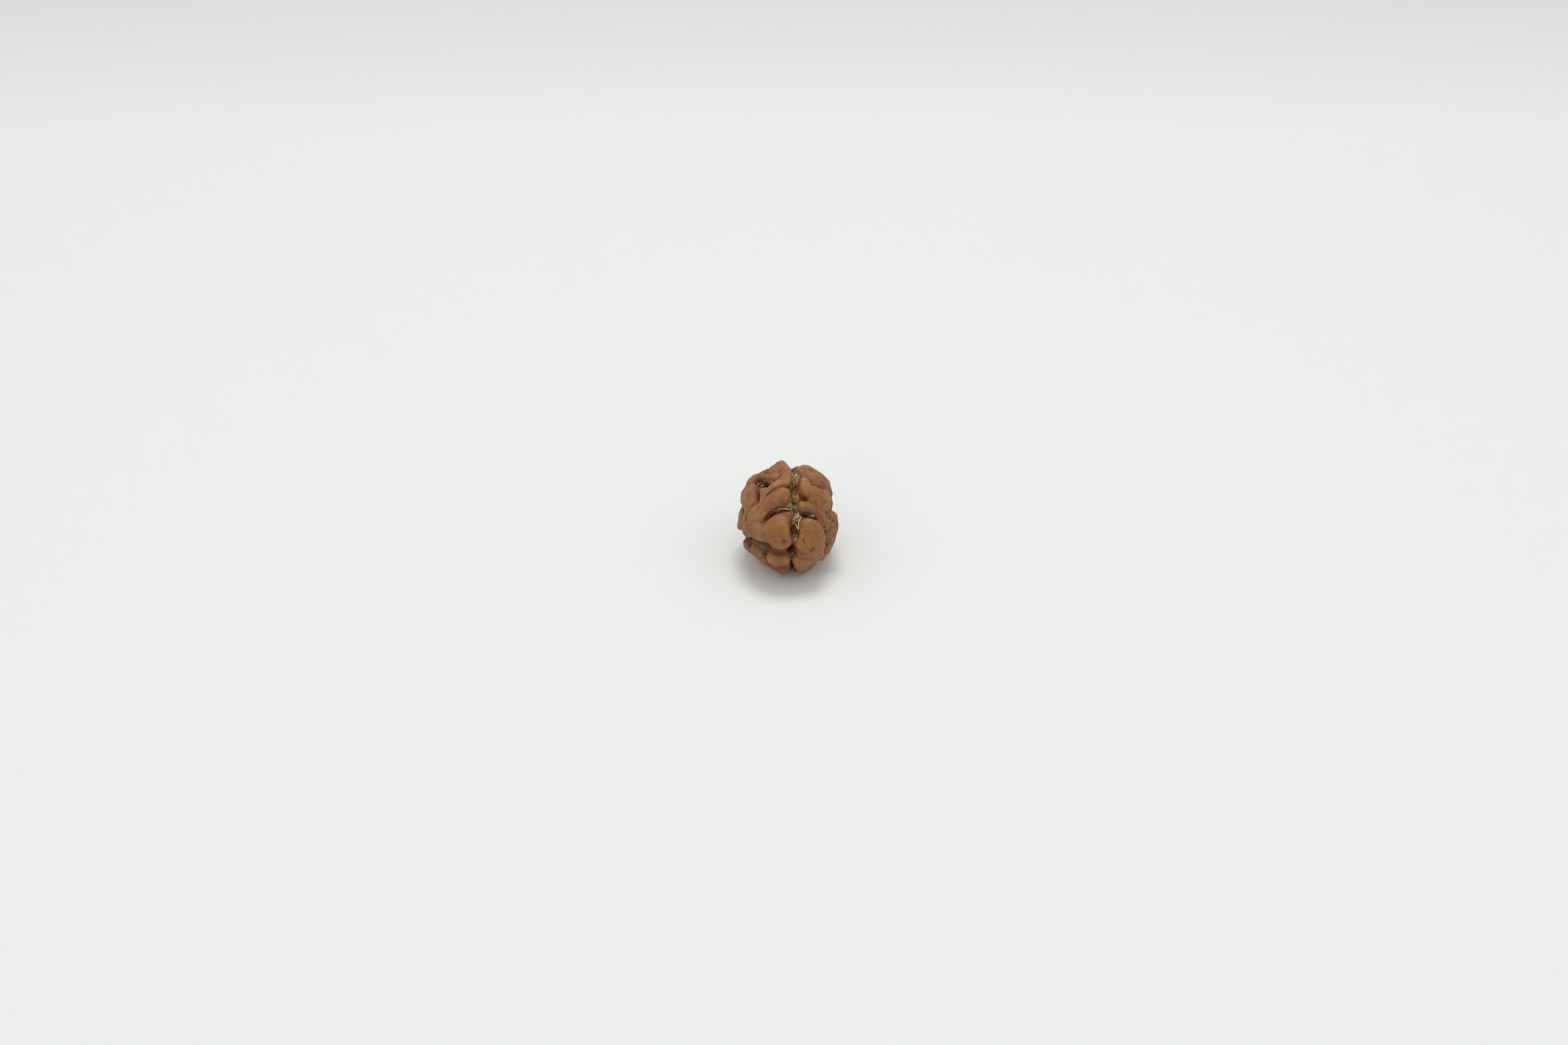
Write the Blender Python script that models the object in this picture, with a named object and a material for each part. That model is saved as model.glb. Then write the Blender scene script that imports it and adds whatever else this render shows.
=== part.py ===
# Rudraksha seed: one solid of rounded ridges and deep seams. Millimetres here, metres in the file.
import bpy
import numpy as np

bodyHalfWidth = 8.6  # x, half the smooth body under the ridges
bodyHalfLength = 10.3  # y, from pole to pole
bodyRise = 9.7  # z, above the middle
bodyDrop = 9.4  # z, below the middle
restLevel = 10.3  # the low ridges are worn flat this far below the middle
capLimit = 0.3  # a ridge's top is cut from a ball, at most this much taller than half its width
crestLean = 0.45  # share of a ridge's height that stands above the line its knots were read on
mouthRise = 0.8  # furrow knots were read this far above the body
warpSeen = 0.07  # how far the ridges wander on the side that the photograph shows
warpHidden = 0.3  # and on the other side
layerStep = 0.9  # between the stacked troughs of a furrow
layerGrowth = 0.12  # how much wider each trough is than the one below it
knotStep = 0.45  # between the sampled points of a stroke
furrowBlend = 0.25  # how softly a furrow's rim is rounded
steepest = 4.0  # the most that an edge may climb for its length
gridCount = 88  # squares along each edge of the cube that is blown up into the seed
wantedTriangles = 11000
mm = 0.001

# Turn and tilt of the views in which the knots were placed, with 1 for the view's far side:
# the photograph's view, its far side, from behind, from the right, from the left.
viewAngles = [(0, 35), (0, 35), (180, 20), (90, 0), (270, 0)]

# A knot is (across, up, half width, height or depth, view), in the view named by its last number,
# the photograph's where there is none. Heights stand over the smooth body, depths go below it.
# each ridge: how softly it runs into its neighbours, then its knots from end to end
ridges = {
    "padLeft": [0.8, (-5.2, -5.6, 2.4, 0.65, 1), (-3, -8.4, 2.6, 0.7, 1), (-2.6, -10.4, 2.4, 0.75, 1)],
    "padRight": [0.8, (5.2, -5.6, 2.4, 0.65, 1), (3.4, -8.4, 2.6, 0.7, 1), (3.4, -10.4, 2.4, 0.75, 1)],
    "saddleLeft": [0.6, (-8.3, 1.6, 1.3, 0.9), (-8.6, 0.2, 1.4, 1.1), (-8.8, -1.5, 1.4, 1.3)],
    "saddleRight": [0.6, (6.9, 3, 1.3, 1.1), (7.2, 1.6, 1.2, 1), (7.4, 0.4, 0.9, 0.9)],
    "peak": [0.35, (-1.6, 10.75, 1.25, 2), (-0.85, 10.1, 1.2, 1.9), (-0.25, 9.1, 1.15, 1.7),
        (-0.3, 8, 1.25, 1.6), (-0.7, 7.3, 1.2, 1.6)],
    "peakDome": [0.35, (-1.7, 10.5, 1.2, 1.9), (-2.3, 10, 1, 1.6)],
    "band": [0.35, (-0.45, 7.8, 1.25, 1.6), (-1.4, 7.2, 1.35, 1.6), (-2.7, 6.4, 1.1, 1.5),
        (-3.5, 5.8, 0.8, 1.35), (-4.05, 5, 0.5, 1.2)],
    "wedge": [0.3, (-5.2, 5.3, 0.7, 1.25), (-4.9, 4.6, 0.95, 1.3), (-5, 3.8, 0.8, 1.2), (-5.3, 2.9, 0.5, 1)],
    "wedgeTop": [0.3, (-5.4, 5.4, 0.5, 1.2), (-4.5, 5.4, 0.55, 1.2)],
    "teardrop": [0.35, (-0.9, 5, 1.4, 1.85), (-1.6, 4.6, 1.9, 1.95), (-2.8, 3.6, 1.8, 1.85),
        (-4, 2.5, 1.6, 1.7), (-5, 1.2, 1.4, 1.55), (-5.8, 0, 1.1, 1.4), (-6.3, -1, 0.9, 1.25)],
    "leftBand": [1, (-6.2, 2.3, 0.9, 0.95), (-7, 1, 1.2, 1.3), (-7.5, -0.4, 1.4, 1.45),
        (-7.2, -2, 1.6, 1.55)],
    "saddleFill": [0.5, (-6.4, 1.8, 1, 0.75), (-7, 0.7, 1.4, 1.05), (-7.3, -0.6, 1.4, 1.2),
        (-6.4, -1.6, 1.4, 1.3)],
    "outerLeftFill": [0.9, (-8.2, 5.2, 0.8, 1.55), (-8.3, 3.8, 0.9, 1.5), (-8.2, 2.4, 0.9, 1.2)],
    "outerLeft": [0.3, (-7.2, 6, 1.05, 1.8), (-7.2, 5, 1.3, 1.8), (-7.3, 3.8, 1.35, 1.65),
        (-7.7, 2.6, 1.25, 1.45), (-8, 1.4, 1.1, 1.3)],
    "outerLeftBack": [0.9, (-8.7, 6.4, 0.9, 1.8), (-9.1, 5.2, 1, 1.95), (-9, 3.9, 1, 1.8),
        (-8.7, 2.6, 0.9, 1.3)],
    "shoulder": [0.35, (-8.7, 6.8, 1, 1.8), (-8.2, 7.9, 1.1, 2.2), (-7.2, 8.7, 1.15, 2),
        (-6.2, 8.7, 1.15, 1.6), (-4.9, 8.9, 1.25, 1.4), (-3.4, 9.2, 1.3, 1.5), (-2.2, 9.5, 1.3, 1.5)],
    "bumpLeft1": [0.5, (-9.2, 0.9, 0.6, 1.1), (-9.2, 0.2, 0.7, 1.1)],
    "bumpLeft2": [0.5, (-9.6, -0.7, 0.9, 1.6), (-9.9, -1.8, 1, 1.95)],
    "lowerLeftLobe": [0.4, (-8.3, -1.8, 0.9, 1.6), (-8.4, -2.9, 1.2, 1.8)],
    "bigLeft": [0.6, (-2, -0.8, 1.7, 1.9), (-2, -2.4, 2.1, 2.35), (-1.9, -4.1, 2.1, 2.3),
        (-1.6, -4.8, 2, 2.1)],
    "bigLeftEdge": [0.5, (-0.5, -0.6, 0.8, 1.5), (-0.6, -1.8, 1, 1.9), (-0.6, -3.2, 1.05, 2),
        (-0.5, -4.4, 1, 1.9)],
    "bigLeftFoot": [0.6, (-1.6, -4.2, 1.9, 2), (-0.4, -4.8, 1.4, 1.9)],
    "bigLeftSide": [0.7, (-2.9, -2.6, 2.4, 2.3), (-4.4, -3.2, 2.2, 2.1), (-6.2, -3.1, 1.7, 1.8),
        (-7.6, -2.8, 1.3, 1.65)],
    "plate": [0.7, (2.4, 9.7, 0.9, 1.3), (3.3, 9.8, 1.3, 1.4), (4.6, 9.3, 1.6, 1.5), (5.9, 8.4, 1.8, 1.7),
        (7.3, 7.3, 1.6, 1.9), (7.7, 6.3, 1.2, 1.7)],
    "plateFace": [0.9, (3.7, 9, 1.3, 1.35), (4.9, 8.3, 1.6, 1.6), (6.1, 7.5, 1.7, 1.75),
        (7.3, 6.5, 1.3, 1.75)],
    "plateFill": [1, (3.9, 9.7, 1.1, 1.25), (5.3, 9, 1.3, 1.35), (6.6, 8.1, 1.3, 1.55), (7.5, 7.2, 1.1, 1.7)],
    "plateBump": [0.2, (1.9, 10.1, 0.5, 1), (2.1, 10, 0.5, 1)],
    "behindRight": [0.3, (8.8, 6.2, 0.9, 1.9), (8.8, 5.2, 0.9, 1.6)],
    "sLobe": [0.35, (3.3, 7.3, 1.2, 1.8), (3.4, 6.5, 1.3, 1.95), (4.1, 5.6, 1.5, 2), (5.4, 5, 1.65, 2.05),
        (6.7, 4.4, 1.6, 2), (7.6, 3.6, 1.4, 1.8), (7.7, 2.4, 1.2, 1.6)],
    "sLobeFoot": [0.8, (4.9, 3.3, 0.9, 1.2), (5.9, 2.7, 1, 1.35), (6.9, 2, 0.9, 1.3)],
    "sLobeFlank": [0.5, (0, 6, 1.2, 1.5, 3), (0, 4.9, 1.3, 1.35, 3), (0.2, 3.7, 1.2, 0.8, 3),
        (0.4, 2.6, 0.9, 0.35, 3)],
    "rightLobe": [0.4, (3.1, 2.35, 1.15, 1.65), (4, 2.15, 1.15, 1.6), (4.7, 1.7, 0.9, 1.35)],
    "hookRidge": [0.35, (6.9, 1.2, 0.7, 1.15), (7.2, 0.3, 0.75, 1.4), (7.45, -0.8, 0.65, 1.55),
        (7.6, -1.9, 0.5, 1.5)],
    "hookHollow": [0.6, (5.3, 1.4, 0.9, 0.65), (6.1, 0.9, 1, 0.85), (6.6, 0, 0.8, 1.05), (6.9, -1, 0.6, 1.2)],
    "seamFloor": [0.15, (1.4, 8.6, 0.75, 0.85), (1.45, 6.5, 0.8, 0.9), (1.4, 4, 0.8, 0.9),
        (1.25, 2, 0.8, 0.9), (1.35, 0, 0.8, 0.95), (1.35, -1.6, 0.8, 1.2), (1.35, -2.8, 0.85, 1.4),
        (1.3, -3.8, 0.8, 1.45), (1.2, -4.8, 0.5, 1.1)],
    "bigRight": [0.6, (4.1, -1.8, 1.6, 1.9), (4.6, -3, 2.2, 2.3), (4.3, -4.6, 2.2, 2.25),
        (3.7, -5.8, 1.7, 2)],
    "bigRightEdge": [0.5, (3.3, -1.4, 0.85, 1.5), (3.3, -2.8, 0.95, 1.8), (3.2, -4.2, 1, 1.9)],
    "bigRightFoot": [0.6, (4, -4.6, 2, 2.1), (2.9, -5.3, 1.5, 1.9)],
    "bigRightSide": [0.9, (5.3, -2.9, 2.3, 2.25), (6.2, -4.2, 2.1, 2.1), (6.3, -5.8, 1.9, 2.05),
        (6, -7.4, 1.9, 2)],
    "lowRightJoin": [0.5, (2.4, -7.1, 0.8, 1.55), (3.7, -7.3, 1, 1.75), (5, -7.1, 1.2, 1.9)],
    "lowRight": [0.5, (2.4, -8.9, 1.4, 1.9), (3.6, -9.1, 1.9, 1.95), (4.9, -8.7, 2, 1.9),
        (5.9, -7.7, 1.8, 1.85)],
    "bottomRight": [0.3, (1.9, -10.7, 0.8, 1.8), (2.6, -11.3, 1, 2.1), (3.9, -11.1, 1.1, 2),
        (5.1, -10.3, 1, 1.7)],
    "bottomRightBump": [0.3, (7.3, -8.5, 0.9, 2.2), (7.5, -8.7, 0.9, 2.2)],
    "footFloor": [0.4, (0.9, -9.6, 0.8, 0.6), (1, -10.4, 0.9, 1.1), (1.3, -11.1, 0.9, 1.5)],
    "lowLeft": [0.4, (-0.6, -8.8, 1.2, 1.6), (-1.8, -9, 1.5, 1.9), (-3.1, -8.6, 1.4, 1.8)],
    "bottomLeft": [0.3, (-2.6, -10.4, 1, 1.4), (-1.2, -11, 1.1, 1.9), (-0.3, -10.6, 0.8, 1.5)],
    "lowerLeftRidge": [0.3, (-6.8, -6.6, 1.05, 1.6), (-6, -7.4, 1.1, 1.6), (-5.3, -8.5, 1, 1.5),
        (-4.3, -9.5, 0.9, 1.4), (-3, -10.3, 0.9, 1.4)],
    "leftDark": [0.3, (-8.3, -4.9, 0.75, 1.6), (-8.6, -6.1, 0.9, 1.95), (-7.9, -7, 0.8, 1.6)],
    "outerRidge": [0.3, (8.1, 1, 0.45, 1.2), (8.9, 0.5, 0.7, 1.6), (9.5, -0.7, 0.85, 1.7),
        (9.7, -2.2, 0.95, 1.9), (9.3, -4, 1, 1.85), (8.8, -5.7, 1, 1.9), (8.4, -7.1, 0.9, 2.1)],
    "outerRidgeFace": [1, (8.3, -0.6, 0.7, 0.7), (8.6, -1.8, 1.1, 1.1), (8.6, -3.3, 1.3, 1.25),
        (8.3, -4.9, 1.2, 1.3), (8, -6.2, 1, 1.3)],
    "outerRidgeFill": [0.8, (9.05, -1.6, 0.7, 1.4), (9.05, -2.6, 0.9, 1.5), (8.9, -3.8, 0.9, 1.5)],
    "outerRidgeBud": [0.15, (7.8, 0.7, 0.3, 1), (7.9, 0.1, 0.3, 0.95)],
    "backLowerLeftD": [0.4, (-1.8, -6.4, 1.4, 1.2, 1), (-3, -7.9, 1.5, 1.2, 1), (-4.6, -8.6, 1.3, 1.2, 1)],
    "backLowerLeftE": [0.4, (-1, -8, 1.2, 1.2, 1), (-1.5, -9.7, 1.3, 1.3, 1)],
    "backLowerLeftF": [0.4, (-7.3, -6.4, 1.1, 1.3, 1), (-6, -7.9, 1.1, 1.3, 1)],
    "backLowerRightD": [0.4, (2.6, -6.6, 1.4, 1.2, 1), (3.8, -7.9, 1.4, 1.2, 1), (5.6, -8.4, 1.2, 1.2, 1)],
    "backLowerRightE": [0.4, (1.9, -7.9, 1.1, 1.2, 1), (2.7, -9.5, 1.3, 1.3, 1), (4.6, -10, 1.1, 1.3, 1)],
    "peakBack": [0.35, (1.5, 6.1, 1.3, 1.8, 2), (1.9, 5.1, 1.3, 1.7, 2), (2.2, 4.1, 1.2, 1.7, 2),
        (3.3, 3.2, 1, 1.5, 2)],
    "plateRim": [0.9, (3.3, 10.5, 0.9, 1.4), (5, 9.8, 1, 1.45), (6.6, 8.9, 1, 1.8), (8, 7.7, 1, 2)],
    "shoulderLow": [0.5, (-3.6, 8.6, 1.1, 1.3), (-2.2, 8.5, 1.2, 1.3)],
    "lowRightRim": [0.5, (2.4, -9.6, 1.2, 1.8), (4, -9.8, 1.3, 1.8), (5.4, -9.1, 1.3, 1.7)],
    "backRoofRightA": [0.4, (0.9, 3.4, 1, 1.6, 2), (0.9, 1.8, 1.2, 1.8, 2), (1.5, 0.3, 1.5, 1.85, 2),
        (3, -0.5, 1.5, 1.8, 2), (4.7, -0.3, 1.3, 1.6, 2)],
    "backRoofRightB": [0.35, (2.6, 1.8, 1.1, 1.6, 2), (4.2, 1.4, 1.3, 1.7, 2), (5.7, 0.8, 1.2, 1.6, 2),
        (6.9, -0.3, 1.2, 1.5, 2)],
    "backRoofRightC": [0.35, (4.3, 4.1, 1.1, 1.1, 2), (5.6, 3.4, 1.3, 1.3, 2), (6.9, 2.3, 1.3, 1.5, 2),
        (7.8, 0.9, 1.2, 1.5, 2)],
    "backSideRight": [0.35, (8.9, 1.2, 1, 1.5, 2), (8.6, -0.4, 1.1, 1.6, 2)],
    "backPoleRight": [0.4, (0.9, -1.9, 1.3, 1.8, 2), (2.3, -2.1, 1.1, 1.5, 2)],
    "backRoofLeftA": [0.35, (-2.4, 3.7, 0.9, 1.2, 2), (-3.7, 4.2, 1.2, 1.3, 2), (-5.2, 3.8, 1.3, 1.4, 2),
        (-6.4, 2.7, 1.2, 1.3, 2)],
    "backRoofLeftB": [0.35, (-1.4, 2.7, 1, 0.8, 2), (-1.6, 1.7, 1.2, 1.3, 2), (-2.9, 1.1, 1.5, 1.8, 2),
        (-4.4, 1.1, 1.4, 1.7, 2), (-5.8, 0.4, 1.3, 1.6, 2), (-7, -0.4, 1.1, 1.4, 2)],
    "backRoofLeftC": [0.35, (-3.3, 2.6, 0.8, 1, 2), (-4.6, 2.4, 0.8, 1.1, 2)],
    "backRoofLeftD": [0.35, (-7.6, 2, 1.1, 0.5, 2), (-8, 0.8, 1.2, 0.7, 2), (-8.6, -0.3, 1, 1, 2)],
    "backPoleLeft": [0.4, (-1.2, -0.2, 1, 1.6, 2), (-1.3, -1.6, 1.4, 1.8, 2), (-2.9, -1.3, 1.2, 1.6, 2)],
    "backLowRightA": [0.4, (1.4, -4.9, 1.3, 1.9, 2), (2.9, -4.7, 1.6, 1.9, 2), (4.5, -4.2, 1.5, 1.8, 2),
        (6.2, -3.5, 1.4, 1.6, 2), (7.8, -3.4, 1.2, 1.5, 2)],
    "backLowRightB": [0.35, (1.3, -7, 1.2, 1.7, 2), (2.6, -7.1, 1.5, 1.8, 2), (4.2, -6.7, 1.4, 1.7, 2),
        (5.7, -5.8, 1.3, 1.6, 2), (7.1, -5.4, 1.1, 1.5, 2)],
    "backLowRightC": [0.35, (1.3, -8.9, 1.2, 1.4, 2), (2.7, -9, 1.4, 1.4, 2), (4.3, -8.6, 1.4, 1.5, 2),
        (5.8, -7.7, 1.2, 1.5, 2)],
    "backLowLeftA": [0.4, (-1.5, -5.3, 1.4, 1.9, 2), (-3, -4.6, 1.6, 1.9, 2), (-4.6, -4.2, 1.4, 1.7, 2),
        (-6.2, -3.2, 1.3, 1.6, 2), (-7.9, -2.7, 1.2, 1.5, 2)],
    "backLowLeftB": [0.35, (-1.6, -7.5, 1.3, 1.7, 2), (-3, -7.1, 1.5, 1.8, 2), (-4.6, -6.5, 1.4, 1.7, 2),
        (-6.1, -5.4, 1.3, 1.6, 2), (-7.5, -4.8, 1.1, 1.5, 2)],
    "backLowLeftC": [0.35, (-1.7, -9.3, 1.2, 1.4, 2), (-3.3, -9, 1.4, 1.4, 2), (-5, -8.2, 1.3, 1.5, 2),
        (-6.5, -7.1, 1.1, 1.5, 2)],
    "sideRightA": [0.35, (5, 7.4, 1.2, 1.4, 3), (3.7, 6.3, 1.3, 1.5, 3), (2.9, 4.8, 1.1, 1.1, 3)],
    "sideRightB": [0.35, (4.7, 4.5, 1.1, 1.5, 3), (3.7, 3.1, 1.1, 0.95, 3), (2.7, 1.9, 0.9, 0.45, 3)],
    "sideRightC": [0.35, (4.8, 1.9, 1.1, 1.4, 3), (3.5, 0.5, 1, 0.8, 3), (1.8, 0.1, 0.9, 0.5, 3)],
    "sideRightD": [0.35, (5.4, -2.9, 1.2, 1.6, 3), (3.6, -2.5, 1.3, 1.6, 3), (1.9, -2.4, 1.2, 1.5, 3),
        (0.5, -1.2, 1, 1.3, 3)],
    "sideRightE": [0.35, (4.6, -4.9, 1.2, 1.6, 3), (2.8, -4.5, 1.3, 1.6, 3), (1.1, -4.4, 1.3, 1.5, 3),
        (-0.5, -3.5, 1, 1.3, 3)],
    "sideRightF": [0.35, (3.8, -6.7, 1.2, 1.5, 3), (2, -6.4, 1.3, 1.6, 3), (0.2, -6.1, 1.2, 1.5, 3),
        (-1.4, -5.4, 1, 1.4, 3)],
    "sideRightG": [0.35, (2.2, -8.3, 1.2, 1.3, 3), (0.4, -8, 1.3, 1.4, 3), (-1.6, -7.4, 1.2, 1.4, 3),
        (-3, -6.6, 1, 1.3, 3)],
    "sideLeftA": [0.35, (-5.2, -3.2, 1.2, 1.6, 4), (-3.4, -2.8, 1.3, 1.6, 4), (-1.6, -3.4, 1.3, 1.6, 4),
        (0, -4.3, 1, 1.2, 4)],
    "sideLeftB": [0.35, (-4.8, -5.2, 1.2, 1.6, 4), (-2.9, -5, 1.3, 1.6, 4), (-1.1, -5.5, 1.2, 1.5, 4),
        (0.5, -6.3, 1, 1.3, 4)],
    "sideLeftC": [0.35, (-4, -6.9, 1.2, 1.5, 4), (-2.2, -7, 1.3, 1.5, 4), (-0.4, -7.5, 1.2, 1.4, 4),
        (1.2, -8, 1, 1.3, 4)],
    "sideLeftD": [0.4, (-3.4, 0.3, 1.1, 1.4, 4), (-1.8, -0.3, 1.1, 1.5, 4), (-0.3, -1.3, 1.1, 1.5, 4)],
}

# each furrow: how many times its trough is stacked outwards, then its knots
furrows = {
    "topSeam": [3, (1, 10, 0.35, 0.5), (1.35, 9.1, 0.45, 0.7), (1.55, 8.3, 0.58, 0.85),
        (1.5, 7.2, 0.65, 0.9), (1.4, 6, 0.7, 0.95), (1.45, 5, 0.7, 0.9), (1.4, 4, 0.65, 0.9),
        (1.25, 2.8, 0.65, 0.85), (1.25, 1.4, 0.65, 0.9), (1.4, 0.2, 0.65, 0.9), (1.4, -1, 0.72, 1.05),
        (1.35, -2.4, 0.75, 1.3), (1.3, -3.6, 0.68, 1.42), (1.2, -4.6, 0.35, 1.1), (1.1, -5.6, 0.2, 0.4)],
    "leftBranch": [2, (0.8, 1.7, 0.4, 0.75), (-0.6, 1.8, 0.5, 0.75), (-1.8, 1.6, 0.5, 0.75),
        (-3, 1.1, 0.45, 0.6), (-4.4, -0.1, 0.35, 0.6)],
    "rightBranch": [2, (1.9, 0.8, 0.35, 0.8), (3.4, 0.65, 0.45, 0.8), (4.9, 0.2, 0.4, 0.8),
        (6, -0.5, 0.25, 0.9)],
    "polePit": [3, (0.95, -6.7, 0.75, 1.8), (0.9, -7.1, 0.9, 2.4), (1, -7.55, 0.45, 2.2)],
    "polePitLeft": [2, (0.6, -7.4, 0.6, 1), (-0.4, -7.3, 0.45, 0.3), (-1.9, -7.1, 0.25, -0.5),
        (-3.4, -7.1, 0.3, 0)],
    "polePitRight": [2, (1.2, -7.3, 0.6, 0.8), (1.9, -7.3, 0.3, 0.8), (3, -7.55, 0.15, 1.2),
        (4.3, -7.8, 0.1, 1.4)],
    "bottomSeam": [3, (0.8, -9.05, 0.25, 0.8), (0.7, -9.5, 0.4, 0.5), (0.75, -10, 0.48, 0.7),
        (1, -10.6, 0.45, 1.3), (1.45, -11.1, 0.4, 1.8), (0.7, -10, 0.45, 0.6, 1), (0.4, -8, 0.45, 0.3, 1),
        (-0.1, -10.3, 0.45, 0.3, 2), (0.1, -8, 0.5, 0.4, 2), (-0.2, -6, 0.5, 0.4, 2),
        (-0.1, -4.6, 0.45, 0.3, 2)],
    "leftPit": [2, (-6.5, 7.3, 0.45, 0.8), (-5.8, 7.15, 0.7, 0.8), (-5, 6.95, 0.8, 0.9),
        (-4.2, 6.85, 0.62, 0.75)],
    "leftPitDown": [3, (-6.15, 6.3, 0.4, 0.5), (-6.05, 5.2, 0.48, 0.6), (-5.95, 4.2, 0.45, 0.6),
        (-5.95, 3.1, 0.3, 0.4)],
    "leftSeam": [3, (-3.6, -6.9, 0.35, 0), (-4.2, -6.7, 0.55, 0.5), (-4.9, -6.1, 0.75, 0.7),
        (-6, -5.3, 0.8, 0.7), (-7.1, -4.8, 0.65, 0.6), (-8.4, -4.3, 0.5, 0.5), (9.2, -2.2, 0.4, 0.3, 2),
        (7.6, -1.7, 0.45, 0.4, 2), (5.8, -1.9, 0.5, 0.5, 2), (4, -2.9, 0.45, 0.4, 2),
        (2.4, -3.3, 0.4, 0.3, 2), (1, -3.5, 0.35, 0.2, 2)],
    "rightSeamBack": [3, (-8.9, -1.5, 0.4, 0.2, 2), (-7.4, -1.6, 0.4, 0.3, 2), (-5.7, -1.7, 0.45, 0.4, 2),
        (-4, -2.7, 0.5, 0.5, 2), (-2.4, -3.1, 0.4, 0.3, 2), (-1, -3.5, 0.35, 0.2, 2)],
    "topSeamBack": [3, (0.95, 10.4, 0.4, 0.3), (-0.8, 5.2, 0.5, 0.4, 2), (-0.3, 4, 0.5, 0.5, 2),
        (-0.4, 2, 0.45, 0.4, 2), (-0.1, 0, 0.5, 0.5, 2), (-0.2, -2, 0.45, 0.3, 2)],
    "backPit": [3, (-0.1, -3.5, 0.7, 2.4, 2), (0.05, -3.8, 0.6, 2, 2)],
    "sideRightFurrow": [3, (1.9, 5.9, 0.3, -0.4, 3), (1.7, 4.6, 0.4, 0.4, 3), (1.6, 3.2, 0.35, 0.5, 3),
        (1.3, 1.9, 0.3, 0.4, 3), (0.6, 0.7, 0.3, 0.3, 3), (-0.6, -0.2, 0.25, 0.1, 3)],
    "sideRightCutA": [4, (5.9, 5.6, 0.3, 0.2, 3), (4.6, 5.7, 0.3, 0.2, 3), (3.2, 4.3, 0.3, 0.2, 3),
        (2, 3, 0.3, 0.3, 3)],
    "sideRightCutB": [4, (5.8, 3.3, 0.3, 0.2, 3), (4.6, 3.1, 0.3, 0.2, 3), (3.4, 1.8, 0.3, 0.2, 3),
        (2.3, 0.9, 0.3, 0.3, 3)],
    "sideRightBranch": [4, (1.3, 1.9, 0.3, 0.3, 3), (2.4, 0.9, 0.3, 0.3, 3), (3.4, -0.5, 0.3, 0.3, 3)],
    "sUnder": [2, (2.1, 3.9, 0.38, 1), (3, 4, 0.4, 1.1), (4, 3.75, 0.35, 1.15), (4.8, 3.1, 0.25, 1.2)],
    "sSlit": [2, (5.9, 3.1, 0.22, 1), (5.75, 2.5, 0.22, 1)],
    "rightCrevice": [1, (8.4, 0.4, 0.25, 0), (8.3, -0.8, 0.3, 0.3), (8.2, -2.2, 0.3, 0.3),
        (8, -3.8, 0.4, 0.5), (7.8, -5, 0.35, 0.5), (7.7, -6.4, 0.3, 0.3)],
    "shoulderCut": [1, (-4.35, 9.2, 0.1, -1.35), (-3.8, 9.15, 0.16, -1.2), (-3.2, 9.4, 0.1, -1.35)],
}


# right, up and towards the viewer for a turn about z and a tilt, in degrees
def viewFrame(turn, tilt):
    ct, st = np.cos(np.radians(turn)), np.sin(np.radians(turn))
    ce, se = np.cos(np.radians(tilt)), np.sin(np.radians(tilt))
    return np.array([[ct, st, 0], [-st * se, ct * se, ce], [st * ce, -ct * ce, se]])


frames = np.array([viewFrame(turn, tilt) for turn, tilt in viewAngles])


# squared-length weights 1/a2, 1/b2, 1/c2 of the body grown by extra
def bodyWeights(z, extra):
    c = np.where(z >= 0, bodyRise, bodyDrop) + extra
    a = bodyHalfWidth + extra + 0 * c
    b = bodyHalfLength + extra + 0 * c
    return 1 / np.stack([a, b, c], 1) ** 2


# scales points onto the body grown by extra
def ontoBody(p, extra):
    weights = bodyWeights(p[:, 2], extra)
    return p / np.sqrt((weights * p * p).sum(1))[:, None]


def bodyNormal(p, extra):
    n = bodyWeights(p[:, 2], extra) * p
    return n / np.linalg.norm(n, axis=1)[:, None]


# where the line through (across, up) of a view meets the body grown by extra
def seenPoint(knots, extra):
    view = knots[:, 4].astype(int)
    right, up, near = np.moveaxis(frames[view], 1, 0)
    base = knots[:, :1] * right + knots[:, 1:2] * up
    halves = []
    for level in (1.0, -1.0):
        weights = bodyWeights(level + 0 * knots[:, 0], extra)
        aa = (weights * near * near).sum(1)
        bb = (weights * base * near).sum(1)
        cc = (weights * base * base).sum(1) - 1
        root = np.sqrt(np.maximum(bb * bb - aa * cc, 0))
        w = (-bb + np.where(view == 1, -root, root)) / aa
        halves.append(base + w[:, None] * near)
    p = np.where(halves[0][:, 2:] < 0, halves[1], halves[0])
    return ontoBody(p, extra)


# Catmull-Rom curve through rows of numbers, sampled about every knotStep
def curveThrough(rows):
    ends = np.vstack([2 * rows[0] - rows[1], rows, 2 * rows[-1] - rows[-2]])
    out = []
    for p0, p1, p2, p3 in zip(ends[:-3], ends[1:-2], ends[2:-1], ends[3:]):
        count = max(1, int(np.ceil(np.linalg.norm(p2[:3] - p1[:3]) / knotStep)))
        t = (np.arange(count) / count)[:, None]
        out.append(0.5 * (2 * p1 + (p2 - p0) * t + (2 * p0 - 5 * p1 + 4 * p2 - p3) * t ** 2
                          + (3 * p1 - p0 - 3 * p2 + p3) * t ** 3))
    return np.vstack(out + [rows[-1:]])


# points, outward normals, half widths and heights along one stroke, on the body grown by share of height
def strokePath(knots, share, level):
    k = np.array([tuple(row) + (0,) * (5 - len(row)) for row in knots], float)
    p = seenPoint(k, share * k[:, 3] + level)
    rows = curveThrough(np.hstack([p, k[:, 2:4]]))
    width, height = np.maximum(rows[:, 3], 0.05), rows[:, 4]
    p = ontoBody(rows[:, :3], share * height + level)
    return p, bodyNormal(p, share * height + level), width, height


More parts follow.
